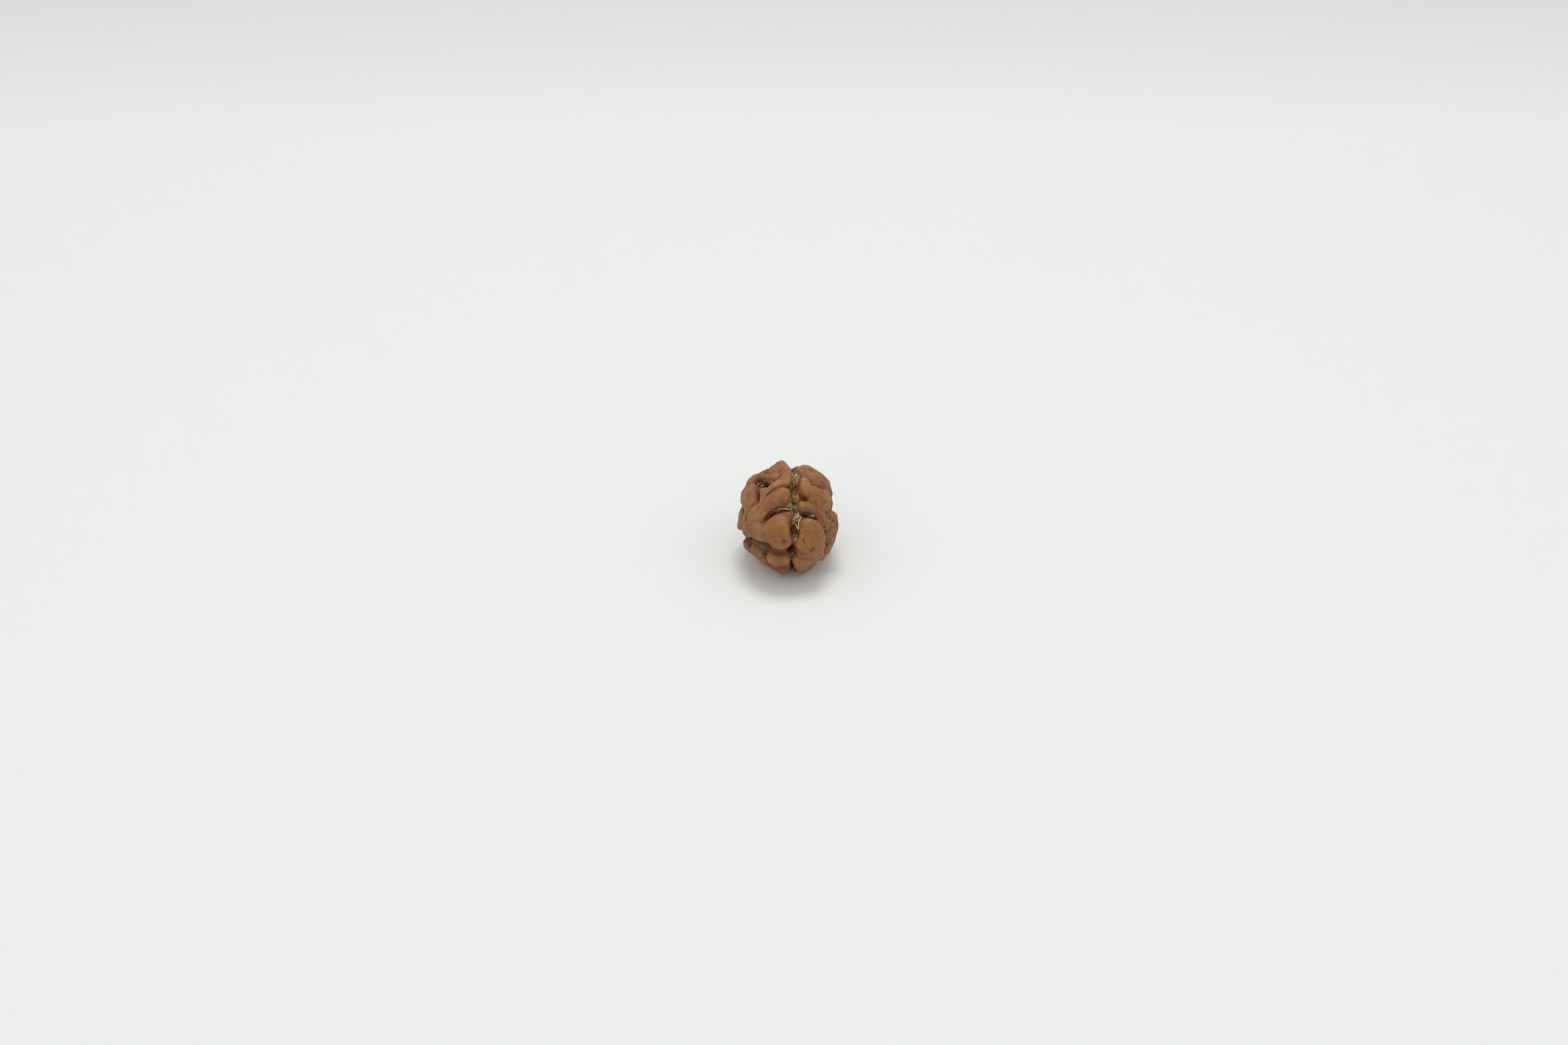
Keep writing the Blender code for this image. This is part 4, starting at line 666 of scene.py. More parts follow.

# Stains, soft round patches: which one, across, up, radius in mm, strength.
stainAndShadePatches = [
    ("ochre", -2.2, -3.2, 3.2, 1), ("ochre", -4.2, -3, 2.4, 0.7), ("ochre", 4.8, -3.4, 2.9, 1),
    ("ochre", 3.6, -5.8, 2.2, 0.8), ("ochre", -1.2, 5.2, 2.2, 0.3), ("ochre", 3.2, 2.7, 1.2, 0.6),
    ("ochre", -7.3, 6.1, 1.3, 0.7), ("ochre", -5, 5.5, 0.9, 0.6), ("ochre", 4.6, 5.6, 2, 0.3),
    ("ochre", 6.6, 7.4, 1.6, 0.5), ("ochre", -2.6, -8.4, 1.8, 0.5), ("ochre", 3.4, -9, 2, 0.4),
    ("ochre", 9.8, -0.7, 1.1, 0.5), ("rust", 0.3, -5.2, 1.2, 0.6), ("rust", -4.6, 9.4, 2.4, 0.4),
    ("rust", -8, -2.4, 1.7, 0.8), ("rust", 6, 1.2, 2.1, 0.6), ("rust", 3.1, 1.3, 1.4, 0.6),
    ("rust", -3.3, 1.7, 2, 0.4), ("rust", 9.2, -5, 2.3, 0.7), ("rust", -6.4, -7, 1.9, 0.7),
    ("rust", -1.6, -7.6, 1.6, 0.5), ("rust", 3, -8, 1.7, 0.5), ("rust", 6.6, 7.4, 2, 0.5),
    ("rust", 0.4, -10.4, 2.2, 0.5), ("rust", 3.2, 4.6, 1.6, 0.6), ("rust", 0, -1, 0.9, 0.5),
    ("rust", 7.6, -1, 0.8, 0.9), ("rust", -3, 3.3, 1.4, 0.7), ("rust", -1.4, 3.2, 1, 0.5),
    ("rust", -4.6, 2.1, 1.2, 0.6), ("rust", -7, 4.8, 1, 0.6), ("rust", 6, 7.9, 1.8, 0.3),
    ("rust", -8.4, -5.8, 1.2, 0.8), ("rust", 1.3, -3.4, 1, 0.8), ("rust", 5.4, 1, 1.3, 0.7),
    ("rust", 4.8, 4.3, 1.2, 0.5), ("rust", 2.6, 9, 1.2, 0.5), ("rust", -3, 6.4, 0.8, 0.4),
    ("rust", -5.2, 8.4, 1.6, 0.5), ("ash", -7, 0.6, 1.9, 0.8), ("ash", -6.2, -1.3, 1.6, 0.8),
    ("ash", -8.9, 3.6, 1.8, 0.7), ("ash", 8.2, 3, 1.2, 0.8), ("ash", 6.8, -1.7, 1, 0.4),
    ("ash", 7.1, -4.8, 1.2, 0.6), ("ash", 1.9, 10.3, 0.7, 0.8), ("ash", -7.8, 8.3, 1, 0.5),
    ("ash", -5.2, -2.3, 1.6, 0.5), ("ash", 6.4, -8.4, 1.4, 0.5), ("ash", 4.2, -4.1, 0.4, 0.6),
    # the soot patches round the left pit, on this line and below, are painted shadow under its overhanging
    # lip
    ("ash", -2.2, 10.3, 1, 0.4), ("soot", -4.6, 6.9, 0.7, 1), ("soot", -5.3, 7.1, 0.6, 1),
    ("soot", -4.1, 6.65, 0.45, 0.9), ("soot", -6, 7.2, 0.55, 0.6), ("ash", 9.1, -5, 1, 1),
    ("ash", -6, -2.4, 1.2, 0.5), ("ash", 4.2, -8.8, 1.3, 0.9), ("ash", 6, -7, 1.1, 0.8),
    ("ash", 5.3, 6.7, 0.9, 0.8), ("ash", 8.7, -6, 0.9, 1), ("ash", 4.7, 7.3, 0.6, 0.5),
    ("soot", -4.6, 7.3, 0.6, 0.6), ("ash", 8.2, 4, 0.9, 0.7), ("ash", -6.3, -6.4, 0.7, 0.6),
    ("ash", 8.6, -3.9, 0.6, 0.6),
]

# Painted shade in umber where the flanks turn down into the hollows: across, up, radius in mm, strength.
shadeSpots = [
    (-1.2, 2.5, 0.8, 0.6), (-2.2, 2.2, 0.9, 0.7), (-3.1, 1.7, 0.9, 0.7), (-4, 0.9, 0.9, 0.6),
    (-4.9, 0, 0.8, 0.5), (2.9, 4.2, 0.8, 0.7), (4, 3.9, 0.7, 0.7), (5.2, 3.2, 0.6, 0.5),
    (5.7, 2.6, 0.5, 0.7), (2.8, 1.2, 0.7, 0.6), (4, 1.1, 0.7, 0.5), (5.6, 1.2, 0.9, 0.5),
    (6.3, 0.1, 0.8, 0.6), (7, -1.2, 0.6, 0.6), (-6.4, 5, 0.7, 0.7), (-6.3, 4, 0.8, 0.8),
    (-6.5, 3, 0.7, 0.5), (-6.3, 7.3, 0.8, 0.7), (-5.3, 7.1, 0.8, 0.9), (-4.3, 6.9, 0.8, 1),
    (-4.6, -5.6, 1, 0.6), (-5.6, -5.5, 1, 0.7), (-3.8, -6.3, 0.9, 0.7), (-7.6, -4.7, 0.9, 0.9),
    (-6.6, -4.8, 0.9, 0.7), (-2.6, -6.9, 0.7, 0.5), (-1, -6.8, 0.8, 0.6), (0.3, -6.6, 0.9, 0.9),
    (1.3, -6.7, 0.9, 0.8), (2.2, -7.1, 0.6, 0.4), (0.2, 6.4, 0.6, 0.5), (-3.2, 5.6, 0.5, 0.4),
    (8.4, -0.3, 0.7, 0.6), (8.4, -2.2, 0.8, 0.8), (8.1, -4, 0.8, 0.9), (7.9, -5.6, 0.7, 0.8),
    (0.9, -9.5, 0.8, 0.9), (1, -10.5, 0.8, 0.9), (4.5, 7.4, 0.35, 0.6), (7.7, 5.9, 0.5, 0.4),
    (1.3, -3, 0.8, 0.5), (1.3, -4.2, 0.6, 0.7), (-9.2, 0.8, 0.5, 0.5), (-8.9, -3.4, 0.7, 0.5),
    (-5.4, -8.6, 0.9, 0.4), (-1.6, -9.9, 0.8, 0.4), (5.2, -9.9, 0.9, 0.3),
]
stainAndShadeNames = ["ochre", "rust", "ash", "umber", "soot"]
raggedEdges = {"ragged": (0.55, 0.3), "raggedWide": (1.4, 0.25)}  # lump size in mm, share of a stain's radius

# On the hidden side the stains lie where a noise is high.
hiddenStains = {
    "strength": {"ochre": 0.9, "rust": 0.8, "ash": 0.8},
    "size": 4.2,  # mm
    "contrast": 1.6,
    "lift": 0.15,
    "border": 3,  # how sharply the hidden side sets in
}


# the seed: p = d (r(d) + relief(d r)), with the stains, the painted shade and the depth of each point as
# attributes
def seedSurface(strokes):
    d, r, p, squares, edges = bareSeed(strokes)
    paint = seedLevels(strokes, p, r, edges)
    patches = stainAndShadePatches + [("umber",) + row for row in shadeSpots]
    lines = [stripes["line"]] + [[row[1:3]] for row in patches] + [row[4:] for row in marks.values()]
    *laid, roughAt = layLines(strokes, lines + [[row[:2] for row in roughPatches]])
    rise = shellNoise(p, paint["hollow"]) + growthLines(p, laid[0])
    paint["crest"] += crestBreak * lumps(p, relief["dimples"][0], "dimples")
    stainAndShade = {name: np.zeros(len(p)) for name in stainAndShadeNames}
    rise = roughened(p, roughAt, rise, stainAndShade)
    ragged = sum((share * lumps(p, size, name) for name, (size, share) in raggedEdges.items()), 1)
    for (name, _, _, radius, strength), at in zip(patches, laid[1:]):
        patch = strength * np.exp(-(((p - at) ** 2).sum(1)) / (radius * ragged) ** 2)
        stainAndShade[name] = np.maximum(stainAndShade[name], patch)
    stainHidden(p, d, stainAndShade)
    for (half, depth, name, strength, *_), line in zip(marks.values(), laid[1 + len(patches):]):
        near = np.exp(-(lineDistance(p, line) / (half * ragged)) ** 3)
        rise -= depth * near
        stainAndShade[name] = np.maximum(stainAndShade[name], strength * near)
    p = p + d * rise[:, None]
    p[:, 2] = np.maximum(p[:, 2], -seedShape["restLevel"])
    return p, squares, {**paint, **stainAndShade}


# sum of height noise(p / size), and in the hollows crumble with an octave of half its size and height
def shellNoise(p, hollow):
    rise = sum(relief[name][1] * lumps(p, relief[name][0], name) for name in ("lumps", "dimples", "grain"))
    size, height = relief["crumble"]
    return rise + height * hollow * (lumps(p, size, "crumble") + 0.5 * lumps(p, 0.5 * size, "crumbleFine"))


# height e^(-(distance / reach)^2) sin(2 pi (p . way + waver noise) / spacing)
def growthLines(p, line):
    face = np.exp(-(lineDistance(p, line) / stripes["reach"]) ** 2)
    across = p @ stripes["way"] + stripes["waver"] * lumps(p, stripes["waverSize"], "stripes")
    return stripes["height"] * face * np.sin(2 * np.pi / stripes["spacing"] * across)


# each rough patch adds height e^(-(distance / radius)^2) noise, painted umber shade in its dips and ash on
# its bumps
def roughened(p, places, rise, stainAndShade):
    look = roughLook
    coarse, fine = look["sizes"]
    crumpled = lumps(p, coarse, "rough") + look["fineShare"] * lumps(p, fine, "roughFine")
    umber = np.clip(-look["umber"][0] * crumpled - look["umber"][1], 0, look["most"])
    ash = np.clip(look["ash"][0] * crumpled - look["ash"][1], 0, look["most"])
    for (_, _, radius, height), at in zip(roughPatches, places):
        patch = np.exp(-((p - at) ** 2).sum(1) / radius ** 2)
        rise = rise + height * patch * crumpled
        stainAndShade["umber"] = np.maximum(stainAndShade["umber"], patch * umber)
        stainAndShade["ash"] = np.maximum(stainAndShade["ash"], patch * ash)
    return rise


# a stain's share on the hidden side: strength (contrast noise + lift), within 0 and 1
def stainHidden(p, d, stainAndShade):
    look = hiddenStains
    hidden = np.clip(-(d @ frames[0][2]) * look["border"], 0, 1)
    for name, strength in look["strength"].items():
        patch = strength * np.clip(look["contrast"] * lumps(p, look["size"], name) + look["lift"], 0, 1)
        stainAndShade[name] = np.maximum(stainAndShade[name], hidden * patch)


# a mesh object from points in mm and arrays of faces, with one number per point for each attribute
def addPiece(name, p, faceArrays, attributes, material, smooth=True):
    corners = np.concatenate([f.ravel() for f in faceArrays])
    sizes = np.concatenate([np.full(len(f), f.shape[1]) for f in faceArrays])
    mesh = bpy.data.meshes.new(name)
    mesh.vertices.add(len(p))
    mesh.vertices.foreach_set("co", ((p + seedMiddle) * mm).ravel())
    mesh.loops.add(len(corners))
    mesh.loops.foreach_set("vertex_index", corners)
    mesh.polygons.add(len(sizes))
    mesh.polygons.foreach_set("loop_start", np.concatenate([[0], np.cumsum(sizes)[:-1]]))
    mesh.polygons.foreach_set("loop_total", sizes)
    mesh.polygons.foreach_set("use_smooth", np.full(len(sizes), smooth))
    mesh.update(calc_edges=True)
    for key, values in attributes.items():
        mesh.attributes.new(key, "FLOAT", "POINT").data.foreach_set("value", values.astype(np.float32))
    mesh.materials.append(material)
    piece = bpy.data.objects.new(name, mesh)
    bpy.context.scene.collection.objects.link(piece)
    return piece


# sRGB hex to linear: c / 12.92, or ((c + 0.055) / 1.055) ** 2.4 above 0.04045
def linear(text):
    c = np.array([int(text[i:i + 2], 16) for i in (1, 3, 5)]) / 255
    c = np.where(c > 0.04045, ((c + 0.055) / 1.055) ** 2.4, c / 12.92)
    return tuple(c) + (1.0,)


# adds a node with its settings, its inputs given as values or as other nodes' outputs
def addNode(tree, kind, inputs=None, **settings):
    node = tree.nodes.new(kind)
    for name, value in settings.items():
        setattr(node, name, value)
    for key, value in (inputs or {}).items():
        if isinstance(value, bpy.types.NodeSocket):
            tree.links.new(value, node.inputs[key])
        else:
            node.inputs[key].default_value = value
    return node


# the place on the piece in mm, for patterns of real size
def placeInMm(tree):
    place = addNode(tree, "ShaderNodeTexCoord").outputs["Object"]
    inMm = addNode(tree, "ShaderNodeVectorMath", {0: place, 1: (1 / mm,) * 3}, operation="MULTIPLY")
    return inMm.outputs[0]


# cloudy noise: mm from lump to lump, detail, how strong the fine detail is
def cloud(tree, inMm, spacing, detail, fine):
    return addNode(tree, "ShaderNodeTexNoise", {"Vector": inMm, "Scale": 1 / spacing, "Detail": detail,
                   "Roughness": fine}).outputs["Fac"]


# a value's range stretched to another, and held within it
def mapped(tree, value, low, high, toLow=0.0, toHigh=1.0):
    return addNode(tree, "ShaderNodeMapRange", {"Value": value, "From Min": low, "From Max": high,
                   "To Min": toLow, "To Max": toHigh}).outputs[0]


# one colour over another
def mixed(tree, factor, below, above):
    return addNode(tree, "ShaderNodeMix", {0: factor, 6: below, 7: above}, data_type="RGBA").outputs[2]


# one step of arithmetic
def calculated(tree, operation, *values):
    return addNode(tree, "ShaderNodeMath", dict(enumerate(values)), operation=operation).outputs[0]


def newMaterial(name):
    material = bpy.data.materials.new(name)
    material.use_nodes = True
    return material, material.node_tree, material.node_tree.nodes["Principled BSDF"]


shellLook = {
    "tan": "#a4703f",
    "tanDark": "#85532b",
    "ochre": "#925b1c",
    "rust": "#773a1a",
    "ash": "#97744d",
    # painted shade on the flanks that turn down into hollows and in rough dips
    "umber": "#633a20",
    # real black spots, and painted shade in pits, slits, nicks, seam holes and the bottom crescent
    "soot": "#281a12",
    # a mottle, and painted shade in the shallow hollows
    "rimAndShade": "#854b23",
    "bank": "#733b20",
    # painted shade in the hollows and the deep places
    "wallShade": "#693920",
    "seamShade": "#4b2917",
    "crest": "#b08350",
    "speck": "#5f3a20",
    "mottles": (2.2, 5.0, 0.62),  # mm from one to the next, detail, strength of the fine detail
    "fineMottles": (0.55, 4.0, 0.6),
    "specks": (0.32, 2.0, 0.5),  # a little coarser than the real pores, so that they show
    "grain": (0.22, 4.0, 0.6),
    "poreSpacing": 0.55,
    "mottleRange": (0.35, 0.65),  # the noise that turns the dark tan into the light one
    "dustyCrest": (0.15, 1.0, 0.0, 0.55),  # how high a crest starts and ends to pale, and how much
    "brokenDust": (0.35, 0.62, 0.25, 1.0),  # how the fine mottles break up the ash
    "poreBump": (0.35, 0.06),  # strength, height in mm
    "grainBump": (0.6, 0.045),
    "roughness": (0.48, 0.85),  # crest, hollow
    "hollowFull": 0.5,  # how deep a hollow has the full roughness
    "roughnessMottle": 0.18,
    "refraction": 1.48,
}

# The layers of colour over the mottled tan, the lowest first: its colour, what brings it in, the values of
# that where it starts and ends, and its strength at both. A stain brings in its layer as it stands.
shellLayers = [
    ("ochre", "ochre"),
    ("rust", "rust"),
    # painted shade on the flanks and in rough dips
    ("umber", "umber"),
    ("crest", "dusty"),
    ("rimAndShade", "fineMottles", 0.42, 0.7, 0.0, 0.55),
    ("crest", "fineMottles", 0.5, 0.3, 0.0, 0.28),
    ("speck", "specks", 0.52, 0.72, 0.0, 0.45),
    ("crest", "specks", 0.33, 0.24, 0.0, 0.5),
    ("speck", "pores", 0.04, 0.2, 0.5, 0.0),
    # painted shade in the shallow hollows
    ("rimAndShade", "hollow", 0.02, 0.22, 0.0, 0.7),
    ("bank", "bank", 0.3, 0.9, 0.0, 0.75),
    # painted shade in the hollows and the deep places
    ("wallShade", "hollow", 0.14, 0.5, 0.0, 0.9),
    ("seamShade", "deep", 0.28, 0.7, 0.0, 0.95),
    ("ash", "brokenAsh"),
    # the real black spots, and painted shade in pits, slits and holes
    ("soot", "soot"),
]


# Dried fruit stone, endocarp polished by handling: a waxy satin on the crests, dull in the seams, with
# painted shade darkening its hollows, pits and flanks.
def stoneMaterial():
    look = shellLook
    material, tree, shader = newMaterial("dried endocarp, hand-worn and waxy")
    inMm = placeInMm(tree)
    drives = {name: addNode(tree, "ShaderNodeAttribute", attribute_name=name).outputs["Fac"]
              for name in ["crest", "hollow", "deep", "bank"] + stainAndShadeNames}
    for name in ("mottles", "fineMottles", "specks", "grain"):
        drives[name] = cloud(tree, inMm, *look[name])
    drives["pores"] = addNode(tree, "ShaderNodeTexVoronoi", {"Vector": inMm,
                              "Scale": 1 / look["poreSpacing"]}).outputs["Distance"]
    mottled = mapped(tree, drives["mottles"], *look["mottleRange"])
    crest = mapped(tree, drives["crest"], *look["dustyCrest"])
    broken = mapped(tree, drives["fineMottles"], *look["brokenDust"])
    drives["dusty"] = calculated(tree, "MULTIPLY", crest, mottled)
    drives["brokenAsh"] = calculated(tree, "MULTIPLY", drives["ash"], broken)
    colour = mixed(tree, mottled, linear(look["tanDark"]), linear(look["tan"]))
    for name, drive, *span in shellLayers:
        factor = mapped(tree, drives[drive], *span) if span else drives[drive]
        colour = mixed(tree, factor, colour, linear(look[name]))
    rough = mapped(tree, drives["hollow"], 0.0, look["hollowFull"], *look["roughness"])
    roughVaried = calculated(tree, "MULTIPLY_ADD", drives["mottles"], look["roughnessMottle"], rough)
    normal = None
    for name, height in (("poreBump", drives["pores"]), ("grainBump", drives["grain"])):
        inputs = {"Strength": look[name][0], "Distance": look[name][1] * mm, "Height": height}
        if normal:
            inputs["Normal"] = normal
        normal = addNode(tree, "ShaderNodeBump", inputs).outputs[0]
    tree.links.new(colour, shader.inputs["Base Color"])
    tree.links.new(roughVaried, shader.inputs["Roughness"])
    tree.links.new(normal, shader.inputs["Normal"])
    shader.inputs["IOR"].default_value = look["refraction"]
    return material


strawLook = {
    "ramp": ("#3f281a", "#7c4c2f", "#a58758", "#e6d7a8"),  # dark, brown, straw and pale
    "steps": (0.0, 0.3, 0.6, 1.0),
    "grain": (0.14, 3.0, 0.5),  # mm from one to the next, detail, strength of the fine detail
    "unevenness": 0.7,  # how far the grain moves the tone
    "bump": (0.4, 0.02),  # strength, height in mm
    "roughness": 0.8,
}


# Dried fruit pulp: thin straw-like ribbons, matt, from dark brown to pale straw by each piece's tone.
def strawMaterial():
    look = strawLook
    material, tree, shader = newMaterial("dried fruit pulp, straw-like fibre")
    tone = addNode(tree, "ShaderNodeAttribute", attribute_name="tone").outputs["Fac"]
    grain = cloud(tree, placeInMm(tree), *look["grain"])
    centred = calculated(tree, "SUBTRACT", grain, 0.5)
    varied = calculated(tree, "MULTIPLY_ADD", centred, look["unevenness"], tone)
    colour = linear(look["ramp"][0])
    for start, end, name in zip(look["steps"], look["steps"][1:], look["ramp"][1:]):
        colour = mixed(tree, mapped(tree, varied, start, end), colour, linear(name))
    strength, height = look["bump"]
    bump = addNode(tree, "ShaderNodeBump", {"Strength": strength, "Distance": height * mm, "Height": grain})
    tree.links.new(colour, shader.inputs["Base Color"])
    tree.links.new(bump.outputs[0], shader.inputs["Normal"])
    shader.inputs["Roughness"].default_value = look["roughness"]
    return material


# Dried pulp, as bands along the seams. line: knots (across, up[, view]); half: half the band's width;
# count, length, slant: the fibres, their shortest and longest, degrees off the seam's line; lift: how far
# the free ends stand up; crumbs, fill: how many, and the share of the hollow's depth that they fill.
fibreBands = {
    "topSeamHigh": {"line": [(1.3, 9.6), (1.5, 8.7), (1.5, 7.5), (1.4, 6.2)],
        "half": 0.66, "count": 260, "length": (0.25, 0.9), "slant": 24, "lift": (0.05, 0.35),
        "crumbs": 1100, "fill": 0.8},
    "topSeamMiddle": {"line": [(1.45, 5.6), (1.4, 4.4), (1.3, 3.2)],
        "half": 0.64, "count": 160, "length": (0.25, 0.9), "slant": 22, "lift": (0.05, 0.3), "crumbs": 700,
        "fill": 0.7},
    "topSeamLow": {"line": [(1.2, 2.4), (1.2, 1.3), (1.4, 0.3), (1.4, -0.8), (1.35, -2.3)],
        "half": 0.72, "count": 260, "length": (0.25, 1), "slant": 20, "lift": (0.05, 0.35), "crumbs": 1000,
        "fill": 0.75},
    "topSeamFoot": {"line": [(1.35, -2.8), (1.3, -3.4), (1.2, -4.2)],
        "half": 0.6, "count": 60, "length": (0.2, 0.6), "slant": 20, "lift": (0.05, 0.2), "crumbs": 900,
        "fill": 1.0},
    "leftBranch": {"line": [(-3, 1.15), (-1.8, 1.5), (-0.7, 1.65), (0.5, 1.7)],
        "half": 0.2, "count": 44, "length": (0.3, 1), "slant": 10, "lift": (0.05, 0.2), "crumbs": 50,
        "fill": 0.4},
    "rightBranch": {"line": [(1.8, 0.7), (2.8, 0.6), (3.9, 0.45), (5.2, 0.2)],
        "half": 0.22, "count": 44, "length": (0.25, 0.7), "slant": 24, "lift": (0.02, 0.18), "crumbs": 110,
        "fill": 0.4},
    "darkPit": {"line": [(-6.7, 7.35), (-6.3, 7), (-5.9, 6.7)],
        "half": 0.34, "count": 2, "length": (0.2, 0.3), "slant": 45, "lift": (0, 0.05), "crumbs": 330,
        "fill": 0.25},
    "darkPitLip": {"line": [(-5.7, 6.6), (-5.1, 6.5), (-4.4, 6.35)],
        "half": 0.2, "count": 3, "length": (0.2, 0.4), "slant": 45, "lift": (0, 0.05), "crumbs": 110,
        "fill": 0.2},
    "pitDown": {"line": [(-6.1, 6.2), (-6.05, 5), (-6, 3.8)],
        "half": 0.25, "count": 2, "length": (0.2, 0.35), "slant": 30, "lift": (0, 0.08), "crumbs": 110,
        "fill": 0.3},
    "leftSeam": {"line": [(-8, -4.6), (-7, -4.8), (-6, -5.3), (-5, -6.1), (-4.2, -6.7)],
        "half": 0.45, "count": 16, "length": (0.2, 0.45), "slant": 40, "lift": (0, 0.1), "crumbs": 620,
        "fill": 0.3},
    "polePit": {"line": [(0.5, -6.8), (0.9, -7), (1.4, -7.2)],
        "half": 0.3, "count": 3, "length": (0.2, 0.4), "slant": 40, "lift": (0, 0.05), "crumbs": 40,
        "fill": 0.1},
    "outerFace": {"line": [(8.2, 0.8), (8.4, -0.2), (8.4, -1.3), (8.3, -2.4)],
        "half": 0.4, "count": 24, "length": (0.3, 0.7), "slant": 60, "lift": (0.02, 0.15), "crumbs": 90,
        "fill": 0.2},
    "bottomSeam": {"line": [(0.85, -9.2), (0.75, -9.8), (0.95, -10.5)],
        "half": 0.3, "count": 5, "length": (0.2, 0.5), "slant": 25, "lift": (0, 0.06), "crumbs": 120,
        "fill": 0.2},
    "topSeamBack": {"line": [(-0.95, 8.4, 2), (-0.9, 7, 2), (-0.8, 5.4, 2), (-0.3, 4, 2), (-0.4, 2, 2),
        (-0.1, 0, 2), (-0.2, -2, 2)],
        "half": 0.5, "count": 300, "length": (0.25, 0.9), "slant": 24, "lift": (0.05, 0.3), "crumbs": 800,
        "fill": 0.5},
    "leftSeamBack": {"line": [(9.2, -2.2, 2), (7.6, -1.7, 2), (5.8, -1.9, 2), (4, -2.9, 2), (2.4, -3.3, 2)],
        "half": 0.35, "count": 90, "length": (0.25, 0.7), "slant": 24, "lift": (0.02, 0.2), "crumbs": 330,
        "fill": 0.4},
    "rightSeamBack": {"line": [(-8.9, -1.5, 2), (-7.4, -1.6, 2), (-5.7, -1.7, 2), (-4, -2.7, 2),
        (-2.4, -3.1, 2)],
        "half": 0.35, "count": 90, "length": (0.25, 0.7), "slant": 24, "lift": (0.02, 0.2), "crumbs": 330,
        "fill": 0.4},
    "bottomSeamBack": {"line": [(-0.2, -4.8, 2), (-0.2, -6.2, 2), (0.1, -8, 2), (-0.1, -9.6, 2)],
        "half": 0.35, "count": 60, "length": (0.25, 0.7), "slant": 24, "lift": (0.02, 0.2), "crumbs": 240,
        "fill": 0.4},
}

# Where the pulp is paler, or with less than nought darker: across, up, radius in mm, by how much.
# the darker patches lie at the holes, pits and deep pockets: painted shade
pulpTones = [
    (1.6, 7.65, 0.65, 0.8), (1.1, 6.5, 0.5, 0.45), (1.5, 8.9, 0.25, 0.3), (1.5, 8.2, 0.3, 0.2),
    (2.2, 5, 0.3, 0.4), (1.3, 4.9, 0.4, 0.15), (1.3, 4, 0.5, 0.3), (1.5, 1.9, 0.35, 0.3),
    (0.4, 1.7, 0.3, 0.3), (1.8, 0.45, 0.45, 0.5), (1.2, -0.1, 0.55, 0.5), (0.9, -0.9, 0.35, 0.4),
    (2.3, -0.3, 0.4, 0.4), (1.75, -1.8, 0.35, 0.45), (4.8, 0.25, 0.5, 0.45), (-2.7, 1.1, 0.4, 0.3),
    (-6.2, 6.6, 0.25, 0.7), (-5.2, 6.5, 0.3, 0.6), (2.2, 8.6, 0.35, -0.4), (1.4, 5.7, 0.5, -0.4),
    (2.1, 6, 0.35, -0.3), (1.1, 2.75, 0.4, -0.4), (0.8, 1.3, 0.4, -0.2), (1.3, -2.6, 0.45, -0.4),
    (1.3, -3.6, 0.9, 0.1), (-4.6, 6.9, 0.8, -0.5), (2, 7, 0.3, -0.2), (1.2, 9.4, 0.5, -0.2),
    (3.2, 0.7, 0.8, -0.25), (-6.6, 7.4, 0.4, -0.2), (1, -7, 0.7, -0.3), (-4.5, -6.5, 0.8, -0.3),
    (-5.8, -5.5, 0.9, -0.25), (-7.4, -4.8, 0.8, -0.2), (-6, 4.8, 0.9, -0.25),
]

# Dark holes in the pulp, where none of it lies: across, up, radius in mm.
pulpHoles = [
    (1.15, 2.78, 0.36), (1.35, 5.7, 0.36), (1, 1.35, 0.25), (1.35, -2.6, 0.4), (2.1, 8.5, 0.2),
    (1.9, 6.8, 0.2), (1, -1.5, 0.16), (1.5, -1.4, 0.14), (1.9, -0.2, 0.16), (-4.7, 7.05, 0.55),
    (-4.1, 6.8, 0.4), (-5.4, 7.2, 0.35),
]

